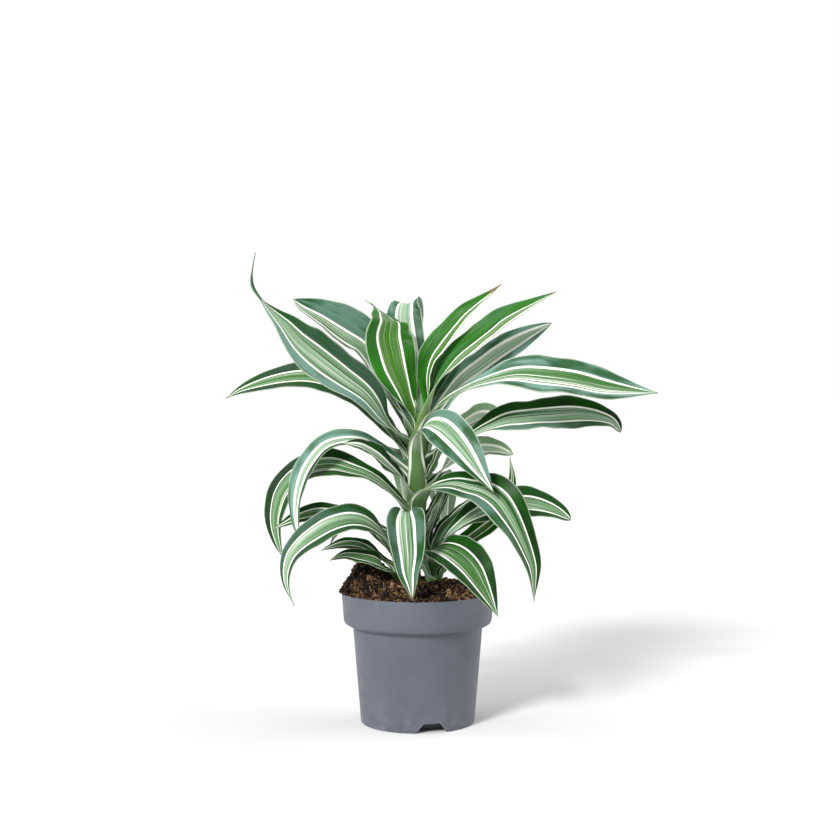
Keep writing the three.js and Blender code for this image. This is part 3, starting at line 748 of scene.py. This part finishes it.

# The same midribs and widths as the solids. A row gives the shoot, the height of the leaf's foot on
# it, its heading, its width, the share of its length at which it is broadest, then its look and the
# points that its midrib runs through. The look tells the stripes: where the dark margin starts, how
# wide the white line is, how pale and how streaked the middle is, and the painted blue sheen, which
# stands for reflected light, on the left and right margins.
leaves = {
    # the crown
    "leaf_broad_left": blade("main", 213, 205, 46, 0.56, (0.5, 0.11, 0.5, 1, 0.9, 0.4),
        [(-23, -16, 235), (-39, -27, 258), (-57, -36, 272), (-74, -42, 285), (-89, -45, 298),
        (-101, -43, 312), (-111, -39, 322), (-120, -36, 332), (-126, -33, 341), (-127, -31, 348),
        (-126, -30, 357), (-124, -30, 367)], roll=(0, -45, -55, -50, -40), tail=0.18),
    "leaf_under_left": blade("main", 198, 176, 27, 0.6, (0.42, 0.14, 0.15, 0.3, 0.3, 0.3),
        [(-16, 2, 220), (-26, 4, 234), (-39, 5, 247), (-54, 6, 259), (-70, 6, 268), (-86, 6, 272),
        (-105, 6, 271), (-123, 5, 267), (-140, 4, 261), (-151, 4, 255)], roll=(0, -35, -45, -52, -52)),
    "leaf_back_left": blade("main", 224, 168, 37, 0.66, (0.42, 0.2, 0.5, 1, 0.2, 0.7),
        [(-15, 11, 250), (-27, 21, 276), (-40, 30, 298), (-55, 33, 309), (-75, 35, 321), (-92, 36, 329),
        (-100, 37, 334)], roll=(0, -35, -45, -45, -40), point=0.75, cup=0.3, shift=0.45),
    "leaf_front_bright": blade("main", 235, 150, 39, 0.5, (0.52, 0.15, 0, 0.15, 0.3, 0.1),
        [(-7, 6, 248), (-13, 9, 265), (-18, 11, 279), (-21, 13, 292), (-23, 14, 304), (-22, 18, 315),
        (-25, 27, 319), (-30, 38, 324), (-36, 47, 329), (-43, 55, 334)],
        roll=(0, -30, -38, 22, 30), point=1.4, cup=0.12, wave=0.13, young=True),
    "leaf_top_curled": blade("main", 241, 93, 29, 0.7, (0.52, 0.24, 1, 0.4, 0.9, 0.9),
        [(3, 14, 256), (0, 30, 276), (-6, 42, 296), (-10, 49, 312), (-11, 52, 324), (-9, 56, 331),
        (-4, 60, 330), (1, 61, 323), (4, 60, 316)], roll=(0, 0, 0, -5, -25), neck=0.3, cup=0.1),
    "leaf_upper_right_first": blade("main", 238, -8, 20, 0.42, (0.42, 0.24, 0, 0.2, 0, 0),
        [(8, 3, 253), (6, 6, 271), (9, 6, 287), (17, 7, 300), (27, 8, 312), (36, 8, 322), (46, 9, 330),
        (57, 10, 338), (66, 10, 345)], roll=(0, 35, 50, 50, 45), dry=0.12, shift=-0.6, young=True),
    "leaf_upper_right_second": blade("main", 231, -44, 22, 0.52, (0.4, 0.18, 0.75, 0.15, 0.45, 0.2),
        [(10, -2, 251), (15, 0, 267), (23, 2, 280), (31, 4, 290), (47, 6, 303), (56, 7, 310),
        (66, 8, 318), (75, 8, 323), (90, 9, 330), (109, 10, 339)],
        roll=(0, 30, 50, 50, 40), dry=0.05, shift=-0.58, young=True),
    # its pale middle is partly its own tone and partly painted light, lightening it where the leaves above
    # shade it
    "leaf_upper_right_third": blade("main", 221, 44, 25, 0.62, (0.5, 0.3, 1, 0.5, 0.9, 1),
        [(14, 8, 243), (24, 14, 257), (36, 21, 270), (51, 28, 281), (65, 32, 291), (83, 36, 302),
        (94, 37, 308), (108, 38, 315)], roll=(0, 30, 50, 55, 55), point=0.8),
    "leaf_far_right": blade("main", 218, -42, 40, 0.64, (0.5, 0.15, 0.2, 1, 0.9, 0.95),
        [(11, -8, 241), (24, -14, 255), (41, -19, 265), (56, -24, 270), (75, -29, 274), (95, -33, 273),
        (118, -36, 270), (140, -37, 265), (163, -37, 262), (183, -36, 260)],
        roll=(0, 25, 35, 45, 45, 40), neck=0.25),
    # down the main stem
    # its pale middle is partly painted light, lightening it where the leaf above shades it
    "leaf_right_arch": blade("main", 203, -5, 36, 0.6, (0.5, 0.15, 0.95, 1, 0.1, 0.7),
        [(17, 1, 212), (33, 3, 220), (48, 5, 229), (60, 7, 234), (71, 8, 238), (87, 9, 240),
        (105, 10, 241), (127, 9, 242), (144, 6, 240), (154, 5, 236), (160, 4, 228)],
        roll=(0, 20, 40, 48, 45), neck=0.15, point=0.6),
    "leaf_front_droop": blade("main", 184, -88, 32, 0.56, (0.48, 0.28, 0.65, 1, 0.8, 0.7),
        [(0, -10, 198), (-1, -13, 215), (1, -19, 229), (9, -26, 236), (18, -33, 234), (30, -44, 223),
        (38, -50, 213), (47, -55, 200), (57, -60, 186)], roll=(0, 0, 55, 35, 20), neck=0.32),
    "leaf_right_back_pale": blade("main", 191, 42, 27, 0.6, (0.47, 0.3, 1, 1, 0.3, 0.3),
        [(15, 13, 207), (24, 20, 220), (33, 26, 230), (42, 30, 237), (52, 33, 241), (61, 35, 239),
        (67, 36, 231)], roll=(0, -15, -40, -50, -50), point=0.6),
    "leaf_right_mid": blade("main", 178, 18, 25, 0.6, (0.47, 0.28, 0.9, 1, 0.3, 0.3),
        [(17, 6, 195), (29, 10, 206), (42, 13, 213), (54, 15, 215), (65, 16, 214), (76, 16, 210)],
        roll=(0, -10, -40, -45, -45), point=0.7),
    "leaf_front_right_long": blade("main", 167, -52, 34, 0.45, (0.5, 0.12, 0.4, 1, 0.1, 0.7),
        [(4, -13, 177), (9, -18, 185), (19, -24, 189), (29, -29, 190), (40, -35, 188), (51, -43, 186),
        (61, -50, 180), (69, -55, 169), (76, -60, 156), (83, -63, 139), (86, -65, 129), (87, -66, 105)],
        roll=(0, 35, 42, 22, 10), neck=0.1),
    "leaf_left_long": blade("main", 188, 150, 21, 0.52, (0.45, 0.34, 1, 0.6, 0.3, 0.95),
        [(-16, 8, 203), (-31, 4, 216), (-45, 0, 223), (-61, -4, 223), (-73, -7, 219), (-82, -9, 210),
        (-89, -11, 199), (-93, -12, 187), (-95, -13, 175), (-95, -13, 162), (-93, -13, 150),
        (-88, -12, 138)], roll=(0, -25, -40, -40, -35), shift=0.15),
    "leaf_left_front": blade("main", 174, 225, 26, 0.5, (0.42, 0.24, 0.6, 0.5, 0.3, 0.2),
        [(-11, -13, 191), (-22, -22, 203), (-33, -29, 213), (-44, -36, 220), (-57, -41, 222)],
        roll=(0, -30, -45, -45, -40)),
    "leaf_left_mid": blade("main", 160, 190, 29, 0.55, (0.5, 0.1, 0.15, 1, 0.1, 0.15),
        [(-15, -9, 174), (-25, -11, 186), (-38, -9, 195), (-53, -5, 200), (-66, -1, 203), (-78, 2, 202),
        (-90, 4, 198), (-100, 6, 191), (-108, 7, 180), (-112, 7, 167), (-113, 6, 154), (-111, 6, 142),
        (-107, 5, 130)], roll=(0, -30, -45, -55, -60), point=0.9),
    "leaf_front_down": blade("main", 153, -95, 35, 0.45, (0.45, 0.2, 0.6, 1, 0.6, 0.6),
        [(-8, -18, 166), (-9, -30, 168), (-9, -42, 162), (-8, -50, 151), (-7, -55, 139), (-7, -59, 126),
        (-5, -62, 114), (-4, -64, 105)], neck=0.25, cup=0.5, dry=0.05),
    "leaf_left_low_thin": blade("main", 137, 160, 17, 0.6, (0.45, 0.2, 0.2, 0.2, 0.3, 0.3),
        [(-20, 7, 146), (-36, 7, 154), (-52, 6, 161), (-66, 5, 164), (-79, 3, 165), (-93, -1, 162),
        (-103, -8, 158), (-113, -12, 153)], roll=(0, -25, -50, -55, -55)),
    # the left low shoot
    "leaf_left_low_arch": blade("left", 127, 215, 29, 0.38, (0.52, 0.15, 0.5, 0.9, 0.3, 0.5),
        [(-20, -12, 136), (-25, -19, 147), (-32, -25, 155), (-41, -30, 161), (-51, -34, 163),
        (-60, -37, 162), (-69, -39, 159), (-79, -41, 153), (-88, -42, 146), (-96, -43, 137),
        (-100, -43, 126), (-100, -43, 115), (-97, -43, 105), (-94, -42, 98)],
        roll=(0, -35, -42, -35, -30), point=1.4),
    "leaf_left_small_upper": blade("left", 119, 165, 15, 0.45, (0.47, 0.15, 0.2, 0.1, 0.15, 0.15),
        [(-27, 3, 127), (-37, 1, 135), (-47, -2, 140), (-57, -4, 141), (-67, -6, 139), (-76, -7, 136)],
        roll=(0, -35, -45)),
    "leaf_left_small_lower": blade("left", 115, 220, 19, 0.32, (0.47, 0.12, 0.1, 0.2, 0.15, 0.15),
        [(-25, -12, 122), (-31, -17, 128), (-38, -19, 131), (-47, -20, 133), (-57, -21, 134),
        (-68, -21, 130)], roll=(0, -40, -45)),
    # the right low shoot
    "leaf_front_right_low": blade("right", 122, -80, 38, 0.43, (0.5, 0.12, 0.15, 1, 0.1, 0.2),
        [(13, -14, 134), (13, -22, 139), (20, -30, 140), (31, -40, 136), (41, -50, 127), (48, -58, 116),
        (54, -64, 105), (60, -69, 94)], roll=(0, 20, 25, 15, 10), wave=0.05),
    "leaf_right_low_arch": blade("right", 129, -21, 31, 0.62, (0.47, 0.15, 0.6, 0.7, 0.2, 0.2),
        [(23, -1, 146), (33, 0, 155), (45, 2, 163), (59, 4, 169), (73, 5, 172), (87, 6, 172),
        (98, 6, 170), (109, 5, 166), (121, 4, 159)], roll=(0, 30, 42, 45, 45), point=0.6),
    "leaf_right_low_upright": blade("right", 120, 25, 18, 0.32, (0.4, 0.22, 0.1, 0.2, 0.1, 0.1),
        [(32, 12, 136), (48, 19, 147), (62, 23, 158), (72, 25, 172), (76, 26, 189), (74, 26, 207)],
        roll=(0, 30, 40, 40, 40), young=True),
    "leaf_right_inner_first": blade("main", 139, 50, 15, 0.4, innerLook,
        [(6, 7, 151), (12, 13, 163), (17, 20, 175), (22, 29, 185)], inner=True),
    "leaf_right_inner_second": blade("right", 136, 66, 16, 0.4, innerLook,
        [(20, 13.5, 149), (30, 18, 159), (40, 22, 169), (50, 26, 179)], roll=(0, 20, 20), inner=True),
    "leaf_right_inner_third": blade("right", 130, 145, 15, 0.4, innerLook,
        [(5, 12.5, 142), (8, 18.5, 153), (14, 21.5, 164), (21, 23.5, 175), (28, 23.5, 186)],
        roll=(0, 10, 10), inner=True),
    "leaf_right_inner_fourth": blade("main", 143, 0, 12, 0.4, innerLook,
        [(8, -1, 155), (12, -2, 165), (17, -3, 175), (23, -4, 184)], roll=(0, 10, 10), inner=True),
    "leaf_right_inner_fifth": blade("main", 188, -22, 15, 0.4, innerLook,
        [(12, -6, 200), (16, -11, 210), (20, -15, 220), (26, -18, 229)], roll=(0, 10, 10), inner=True),
    "leaf_right_foot_first": blade("right", 112, 214, 11, 0.4, (0.47, 0.12, 0.6, 0.5, 0.9, 0.9),
        [(5.5, -7.5, 121), (0, -10.5, 130), (-4, -12.5, 139), (-7, -14.5, 147)], inner=True),
    "leaf_right_foot_second": blade("right", 113, 322, 13, 0.4, (0.47, 0.1, 0, 0.5, 0.1, 0.1),
        [(20, -5, 121), (24, -9, 127), (28, -12, 132)], inner=True),
    # the back of the plant
    "leaf_rear_upper": blade("main", 227, 120, 31, 0.5, (0.47, 0.14, 0.4, 0.5, 0.3, 0.1),
        [(1, 18, 249), (3, 36, 270), (5, 58, 288), (6, 82, 290), (7, 102, 278), (7, 118, 258)]),
    "leaf_rear_upper_left": blade("main", 216, 122, 32, 0.5, (0.47, 0.11, 0.5, 0.5, 0.1, 0.4),
        [(-8, 16, 238), (-20, 36, 258), (-36, 58, 272), (-52, 80, 276), (-66, 98, 268), (-74, 108, 256)]),
    "leaf_rear_upper_right": blade("main", 212, 62, 32, 0.5, (0.47, 0.12, 0.3, 0.5, 0.2, 0.2),
        [(9, 15, 234), (22, 34, 256), (40, 56, 272), (58, 76, 279), (74, 92, 277), (84, 104, 270)]),
    "leaf_rear_middle": blade("main", 199, 88, 31, 0.5, (0.47, 0.18, 0.6, 0.5, 0.1, 0.5),
        [(1, 14, 218), (3, 34, 236), (5, 58, 244), (5, 84, 239), (4, 106, 222), (3, 120, 200),
        (2, 128, 180)]),
    "leaf_rear_middle_left": blade("main", 179, 104, 29, 0.5, (0.47, 0.12, 0.3, 0.5, 0.4, 0.1),
        [(-5, 13, 198), (-8, 36, 211), (-10, 62, 210), (-10, 86, 196), (-10, 102, 174), (-9, 110, 150)]),
    "leaf_rear_middle_right": blade("main", 168, 72, 29, 0.5, (0.47, 0.15, 0.5, 0.5, 0.15, 0.15),
        [(5, 13, 182), (11, 34, 192), (16, 60, 190), (20, 84, 174), (22, 100, 152), (23, 108, 130)]),
    "leaf_rear_low_right": blade("right", 127, 62, 22, 0.5, (0.47, 0.16, 0.2, 0.5, 0.15, 0.15),
        [(21, 19, 142), (34, 38, 154), (51, 56, 158), (66, 70, 150), (76, 82, 136)]),
    "leaf_rear_low_left": blade("left", 126, 135, 17, 0.5, (0.47, 0.17, 0.3, 0.5, 0.15, 0.15),
        [(-25, 14, 138), (-38, 30, 150), (-52, 46, 154), (-64, 58, 146), (-73, 66, 132)]),
    "leaf_rear_low_middle": blade("right", 116, 118, 23, 0.5, (0.47, 0.13, 0.4, 0.5, 0.3, 0.3),
        [(10, 18, 132), (8, 38, 143), (6, 58, 142), (4, 74, 132), (3, 84, 116)]),
    "leaf_rear_low_inner": blade("left", 123, 72, 20, 0.5, (0.47, 0.15, 0.2, 0.5, 0.15, 0.15),
        [(-15, 18, 133), (-17, 38, 141), (-20, 56, 138), (-22, 70, 124)]),
}


stripeTitles = ("Margin", "Deep Margin", "Painted Sheen", "Line", "Centre", "Pale", "Base", "Dry")
stripePlan = {
    # noises drawn out along the leaf: scale across, scale along, detail and roughness
    "streak": (13, 0.9, 2, 0.6),
    "vein": (32, 1.3, 1, 0.5),
    "broadTone": (3.2, 1.6, 1, 0.5),
    "patch": (1.5, 5.0, 2, 0.5),
    "waver": 0.16,  # how far the stripes stray
    "lineWidth": 0.66,
    "lineGrowth": 1.6,  # the most that a line widens where the leaf is narrow
    "neckMargin": 0.9,  # where the dark margin starts at the neck
    "marginSpread": 0.18,  # the share of the leaf over which it reaches its own width
    "stalkSpread": 0.12,
    "whiskerMargin": -0.5,  # the whisker is all margin
}


def makeStripeGroup(plan):
    # stripes along a leaf, from the attributes that each leaf carries
    inputs = {title: "colour" for title in stripeTitles} | {"Base Share": "value"}
    outputs = {"Colour": "colour", "Roughness": "value", "Height": "value"}
    group, given, out = newGroup("leafStripes", inputs, outputs)
    across, along, seed, margin, line, strength = (
        attribute(group, title) for title in ("across", "along", "seed", "margin", "line", "streaks"))
    spot = together(group, times(group, across, 0.7), times(group, along, 2.4), seed)
    waver = speckle(group, spot, 1.0, 1)
    place = plus(group, across, maths(group, "MULTIPLY_ADD", waver, plan["waver"], -plan["waver"] / 2))
    place = plus(group, place, attribute(group, "shift"))
    away = maths(group, "ABSOLUTE", place)

    def lengthwise(crossScale, alongScale, detail, rough):
        spot = together(group, times(group, place, crossScale), times(group, along, alongScale), seed)
        return speckle(group, spot, 1.0, detail, rough)

    streak, vein, broadTone, patch = (
        lengthwise(*plan[title]) for title in ("streak", "vein", "broadTone", "patch"))

    outer = ramp(group, away, maths(group, "SUBTRACT", margin, 0.02), plus(group, margin, 0.02))
    lineStart = maths(group, "SUBTRACT", margin, line)
    inner = ramp(group, away, maths(group, "SUBTRACT", lineStart, 0.02), plus(group, lineStart, 0.03))

    # the middle: pale areas, white streaks and dark streaks
    pale = maths(group, "SUBTRACT", attribute(group, "pale"), 0.78)
    paleShare = maths(group, "MULTIPLY_ADD", broadTone, 1.5, pale, clamp=True)
    centre = blend(group, paleShare, given["Centre"], given["Pale"])
    white = times(group, ramp(group, streak, 0.56, 0.68), strength)
    centre = blend(group, white, centre, given["Line"])
    dark = times(group, ramp(group, streak, 0.46, 0.36), strength)
    centre = blend(group, dark, centre, given["Margin"])

    # the dark margins, with their painted sheen of reflected light
    rim = blend(group, ramp(group, patch, 0.35, 0.7), given["Margin"], given["Deep Margin"])
    # painted sheen: a blue-grey colour laid on the margins in place of reflected light
    sheenShare = times(group, maths(group, "POWER", attribute(group, "painted_sheen"), 2.0),
                    ramp(group, patch, 0.36, 0.58, 0.15, 1.0))
    rim = blend(group, sheenShare, rim, given["Painted Sheen"])
    rim = blend(group, ramp(group, streak, 0.62, 0.72, 0, 0.25), rim, given["Centre"])

    # the green base, the white lines, the painted light along the edge, the veins and the dry tip
    based = times(group, attribute(group, "stalk"), given["Base Share"])
    based = times(group, based, ramp(group, streak, 0.3, 0.7, 0.85, 1.0))
    centre = blend(group, based, centre, given["Base"])
    rim = blend(group, based, rim, given["Base"])
    tone = blend(group, inner, centre, given["Line"])
    tone = blend(group, outer, tone, rim)
    # painted light: a pale rim along the leaf's edge, as where light shines through the thin margin
    edge = ramp(group, maths(group, "ABSOLUTE", across), 0.94, 0.98, 0, 0.4)
    tone = blend(group, edge, tone, given["Line"])
    tone = blend(group, ramp(group, along, 0.06, -0.06, 0, 0.6), tone, given["Base"])
    tone = blend(group, ramp(group, vein, 0.35, 0.6, 0.22, 0.0), tone, (0, 0, 0, 1))
    tone = blend(group, attribute(group, "dry"), tone, given["Dry"])
    group.links.new(tone, out["Colour"])
    rough = plus(group, ramp(group, patch, 0.3, 0.7, 0.34, 0.46), times(group, vein, 0.06))
    group.links.new(rough, out["Roughness"])
    group.links.new(plus(group, times(group, vein, 0.5), times(group, streak, 0.8)), out["Height"])
    return group


leafTones = {
    # in the order of stripeTitles: the third colour of each is the painted sheen of reflected light
    "leafUpper": ("#17480d", "#0b2c05", "#7ba392", "#fafcf2", "#4b7640", "#99b798", "#3f6a26", "#6a5236"),
    "leafUnder": ("#829f79", "#72936b", "#8fa998", "#edf2e2", "#8ba780", "#aac0a4", "#4d7236", "#74603f"),
    "youngUpper": ("#256b0a", "#165006", "#6ea878", "#fafcf0", "#427326", "#6e8f62", "#467f22", "#75603c"),
    "youngUnder": ("#76a05a", "#66924c", "#8fb38c", "#e4ead4", "#86ab68", "#aac491", "#5b8436", "#7a6540"),
}
edgeTones = ("#64874f", "#9cb485")


def makeLeafMaterial(name, group, tones, baseShare):
    material, tree, skin = newMaterial(name, {"Specular IOR Level": 0.12})
    values = {title: colour(text) for title, text in zip(stripeTitles, tones)}
    stripes = placeGroup(tree, group, values | {"Base Share": baseShare})
    paintSkin(tree, skin, stripes["Colour"], stripes["Roughness"], stripes["Height"], 0.35, 0.0004)
    return material


def makeEdgeMaterial():
    # the thin cut edge of a leaf
    material, tree, skin = newMaterial("leafEdge", {"Roughness": 0.5})
    mottle = speckle(tree, objectPlace(tree), 240, 2)
    base = blend(tree, ramp(tree, mottle, 0.3, 0.7), *(colour(text) for text in edgeTones))
    paintSkin(tree, skin, base, ramp(tree, mottle, 0.3, 0.7, 0.45, 0.6), mottle, 0.1, 0.0002)
    return material


def smooth(share):
    share = min(1, max(0, share))
    return share * share * (3 - 2 * share)


def alongList(values, share):
    place = min(1, max(0, share)) * (len(values) - 1)
    before = min(len(values) - 2, int(place))
    return values[before] + (values[before + 1] - values[before]) * smooth(place - before)


def makeRail(points, steps):
    # a smooth curve through the points, with the length run up to each place on it
    ends = [points[0] * 2 - points[1]] + points + [points[-1] * 2 - points[-2]]
    places = []
    for a, b, c, d in zip(ends, ends[1:], ends[2:], ends[3:]):
        before, within, after = ((q - p).length ** 0.5 for p, q in ((a, b), (b, c), (c, d)))
        leaveB = ((b - a) / before - (c - a) / (before + within) + (c - b) / within) * within
        reachC = ((c - b) / within - (d - b) / (within + after) + (d - c) / after) * within
        for step in range(steps):
            t = step / steps
            places.append(b + leaveB * t + (3 * (c - b) - 2 * leaveB - reachC) * t * t
                          + (2 * (b - c) + leaveB + reachC) * t ** 3)
    places.append(points[-1].copy())
    run = [0.0]
    for p, q in zip(places, places[1:]):
        run.append(run[-1] + (q - p).length)
    return places, run


def onRail(rail, distance):
    places, run = rail
    distance = min(run[-1], max(0, distance))
    after = min(len(run) - 1, max(1, bisect.bisect_left(run, distance)))
    share = (distance - run[after - 1]) / (run[after] - run[after - 1])
    return places[after - 1].lerp(places[after], share)


def bladeWidth(leaf, share, plan):
    # a narrow neck, the broadest place, a drawn-out tip
    body = min(1, share / (1 - leaf["tail"]))
    neck = leaf["neck"]
    broad = leaf["broad"]
    foot = min(0.6, plan["neckWidth"] / leaf["width"])
    growth = min(1, max(0, (body - neck) / (broad - neck)))
    rise = foot + (1 - foot) * math.sin(growth * math.pi / 2) ** plan["neckPower"]
    past = max(0, (body - broad) / (1 - broad))
    whisker = 0
    if leaf["tail"]:
        bulge, bulgeAt, bulgeLength = plan["whiskerBulge"]
        whisker = (plan["whisker"] * min(1, 8 * (1 - share))
                   + bulge * math.exp(-((share - bulgeAt) / bulgeLength) ** 2))
    widest, less = plan["tipWidth"]
    return max(leaf["width"] * rise * (1 - past ** 2) ** leaf["point"], widest - less * share, whisker)


def layersInside(mine, reach):
    # how many leaf bases lie closer to the stem at this height
    return sum(1 for leaf in leaves.values()
               if leaf["shoot"] == mine["shoot"] and 0 < leaf["at"] - mine["at"] < reach)


def bladeFrames(leaf, plan):
    # for each station on the midrib: its share of the leaf, place, directions, half width and bend
    angle = math.radians(leaf["heading"])
    outward = Vector((math.cos(angle), math.sin(angle), 0))
    spare = plan["clearance"] + plan["layer"] * layersInside(leaf, plan["layerReach"])
    low, lowRadius = onShoot(leaf["shoot"], leaf["at"] - plan["sheath"])
    foot, footRadius = onShoot(leaf["shoot"], leaf["at"])
    points = [low + outward * (lowRadius + spare), foot + outward * (footRadius + spare)]
    points += [Vector(place) for place in leaf["through"]]
    rail = makeRail(points, plan["railSteps"])
    total = rail[1][-1]
    start = rail[1][plan["railSteps"]]
    tip = Vector(leaf["through"][-1])
    chord = math.atan2(tip.y - foot.y, tip.x - foot.x)
    turn = math.atan2(math.sin(chord - angle), math.cos(chord - angle))
    frames = []
    for station in range(plan["stations"] + 1):
        distance = total * station / plan["stations"]
        share = (distance - start) / (total - start)
        run = (onRail(rail, distance + 1) - onRail(rail, distance - 1)).normalized()
        way = angle + turn * smooth(share * 2.5)
        side = Vector((math.sin(way), -math.cos(way), 0))
        side = (side - run * side.dot(run)).normalized()
        up = side.cross(run)
        roll = math.radians(alongList(leaf["roll"], share))
        normal = up * math.cos(roll) + side * math.sin(roll)
        opened = smooth(share / plan["opening"])
        half = (plan["wrap"] * (footRadius + spare) * (1 - opened)
                + bladeWidth(leaf, max(0, share), plan) / 2 * opened)
        bend = plan["wrap"] * (1 - opened) + 2 * leaf["cup"] * opened
        frames.append((share, onRail(rail, distance), run.cross(normal), normal, half, bend))
    return frames


def stripeValues(leaf, u, share, half, plan):
    # what the stripes need to know at a place on the blade
    margin, line, pale, streaks, sheenLeft, sheenRight = leaf["look"]
    neckMargin = plan["neckMargin"]
    spread = smooth((share - leaf["neck"] * 0.7) / plan["marginSpread"])
    widening = min(plan["lineGrowth"], max(1, (leaf["width"] / 2 / half) ** 0.5))
    whisker = share > 1 - leaf["tail"]
    return {
        "across": u,
        "along": share,
        "margin": plan["whiskerMargin"] if whisker else neckMargin + (margin - neckMargin) * spread,
        "line": line * plan["lineWidth"] * widening,
        "pale": pale,
        "streaks": streaks,
        # how much painted sheen each margin carries
        "painted_sheen": sheenLeft if u < 0 else sheenRight,
        "dry": smooth((share - 1 + leaf["dry"]) / leaf["dry"] * 1.6),
        "shift": leaf["shift"],
        "stalk": 1 - smooth((share - leaf["neck"] * 0.6) / plan["stalkSpread"]),
    }


def shapeLeaf(name, plan):
    # the blade as a grid, from its base on the stem to its tip, with what its stripes need
    leaf = leaves[name]
    frames = bladeFrames(leaf, plan)
    phase = len(name) * 1.7
    seed = len(name) * 3.7 + leaf["at"] * 0.61
    often, apart = plan["waves"]
    fineOften, fineApart = plan["fineWaves"]
    ribDepth, ribWidth = plan["rib"]
    foldHeight, foldsClose = plan["folds"]
    bm = bmesh.new()
    bmesh.ops.create_grid(bm, x_segments=plan["columns"], y_segments=plan["stations"], size=1)
    layers = {title: bm.verts.layers.float.new(title)
              for title in ("across", "along", "seed", "margin", "line", "pale", "streaks", "painted_sheen", "dry",
                            "shift", "stalk")}
    sheet = bm.loops.layers.uv.new("leaf")
    for vert in bm.verts:
        u = vert.co.x
        share, point, across, normal, half, bend = frames[round((vert.co.y + 1) / 2 * plan["stations"])]
        calm = math.sqrt(max(0, math.sin(math.pi * min(1, max(0, share)))))
        radius = half / bend
        ripple = math.sin(share * often + phase + (apart if u > 0 else 0)) * u * u
        fine = math.sin(share * fineOften + phase * 2 + (fineApart if u > 0 else 0)) * u ** 4
        lift = (radius * (1 - math.cos(u * bend)) + leaf["wave"] * half * calm * ripple
                + plan["fineWave"] * half * calm * fine)
        lift -= (ribDepth * calm * math.exp(-(u / ribWidth) ** 2)
                 - foldHeight * calm * math.cos(u * foldsClose))
        vert.co = (point + across * (radius * math.sin(u * bend)) + normal * lift) * mm
        vert[layers["seed"]] = seed
        for title, value in stripeValues(leaf, u, share, half, stripePlan).items():
            vert[layers[title]] = value
    for face in bm.faces:
        for loop in face.loops:
            loop[sheet].uv = ((loop.vert[layers["across"]] + 1) / 2, loop.vert[layers["along"]])
    return bm


def makeLeaf(name, plan, materials):
    leaf = leaves[name]
    kind = "young" if leaf["young"] else "leaf"
    # the leaves deep in the plant take the upper colours below as well, partly as painted shade
    under = "Upper" if leaf["inner"] else "Under"
    piece = keepMesh(name + "_blade", shapeLeaf(name, plan),
                     [materials[kind + "Upper"], materials[kind + under], materials["leafEdge"]])
    wall = piece.modifiers.new("thickness", "SOLIDIFY")
    wall.thickness = plan["thickness"] * mm
    wall.offset = 0
    wall.material_offset = 1
    wall.material_offset_rim = 2
    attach(piece, "root")
    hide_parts(name)


# the white floor
floorTones = ("#e2e2e2", "#e6e6e6")


def makeFloor():
    material, tree, skin = newMaterial("floorPaint", {"Roughness": 0.9, "Specular IOR Level": 0.1})
    cloud = speckle(tree, objectPlace(tree), 3, 2)
    base = blend(tree, cloud, *(colour(text) for text in floorTones))
    tree.links.new(base, skin.inputs["Base Color"])
    bm = bmesh.new()
    bmesh.ops.create_grid(bm, x_segments=8, y_segments=8, size=12)
    floor = keepMesh("floor", bm, [material])


# the whole scene
makeCamera(cameraPlan)
makeLight(lightPlan)
makeFloor()
print("camera, light and floor made")

makePot(potPlan, notchPlan, makePlasticMaterial(potPlan))
print("pot made")

makeSoil(soilPlan, makeSoilMaterial("soilBed"))
makeCrumbs(crumbPlan, makeSoilMaterial("soilCrumbs"))
makeFibres(fibrePlan, makeSoilMaterial("soilFibres"))
print("soil made")

bark = makeStemMaterial(stemPlan)
for name in shoots:
    makeStem(name, stemPlan, bark)
print("stems made")

stripeGroup = makeStripeGroup(stripePlan)
leafMaterials = {}
for name, tones in leafTones.items():
    baseShare = leafPlan["baseShare"]["under" if name.endswith("Under") else "upper"]
    leafMaterials[name] = makeLeafMaterial(name, stripeGroup, tones, baseShare)
leafMaterials["leafEdge"] = makeEdgeMaterial()
for name in leaves:
    makeLeaf(name, leafPlan, leafMaterials)
print("leaves made:", len(leaves))
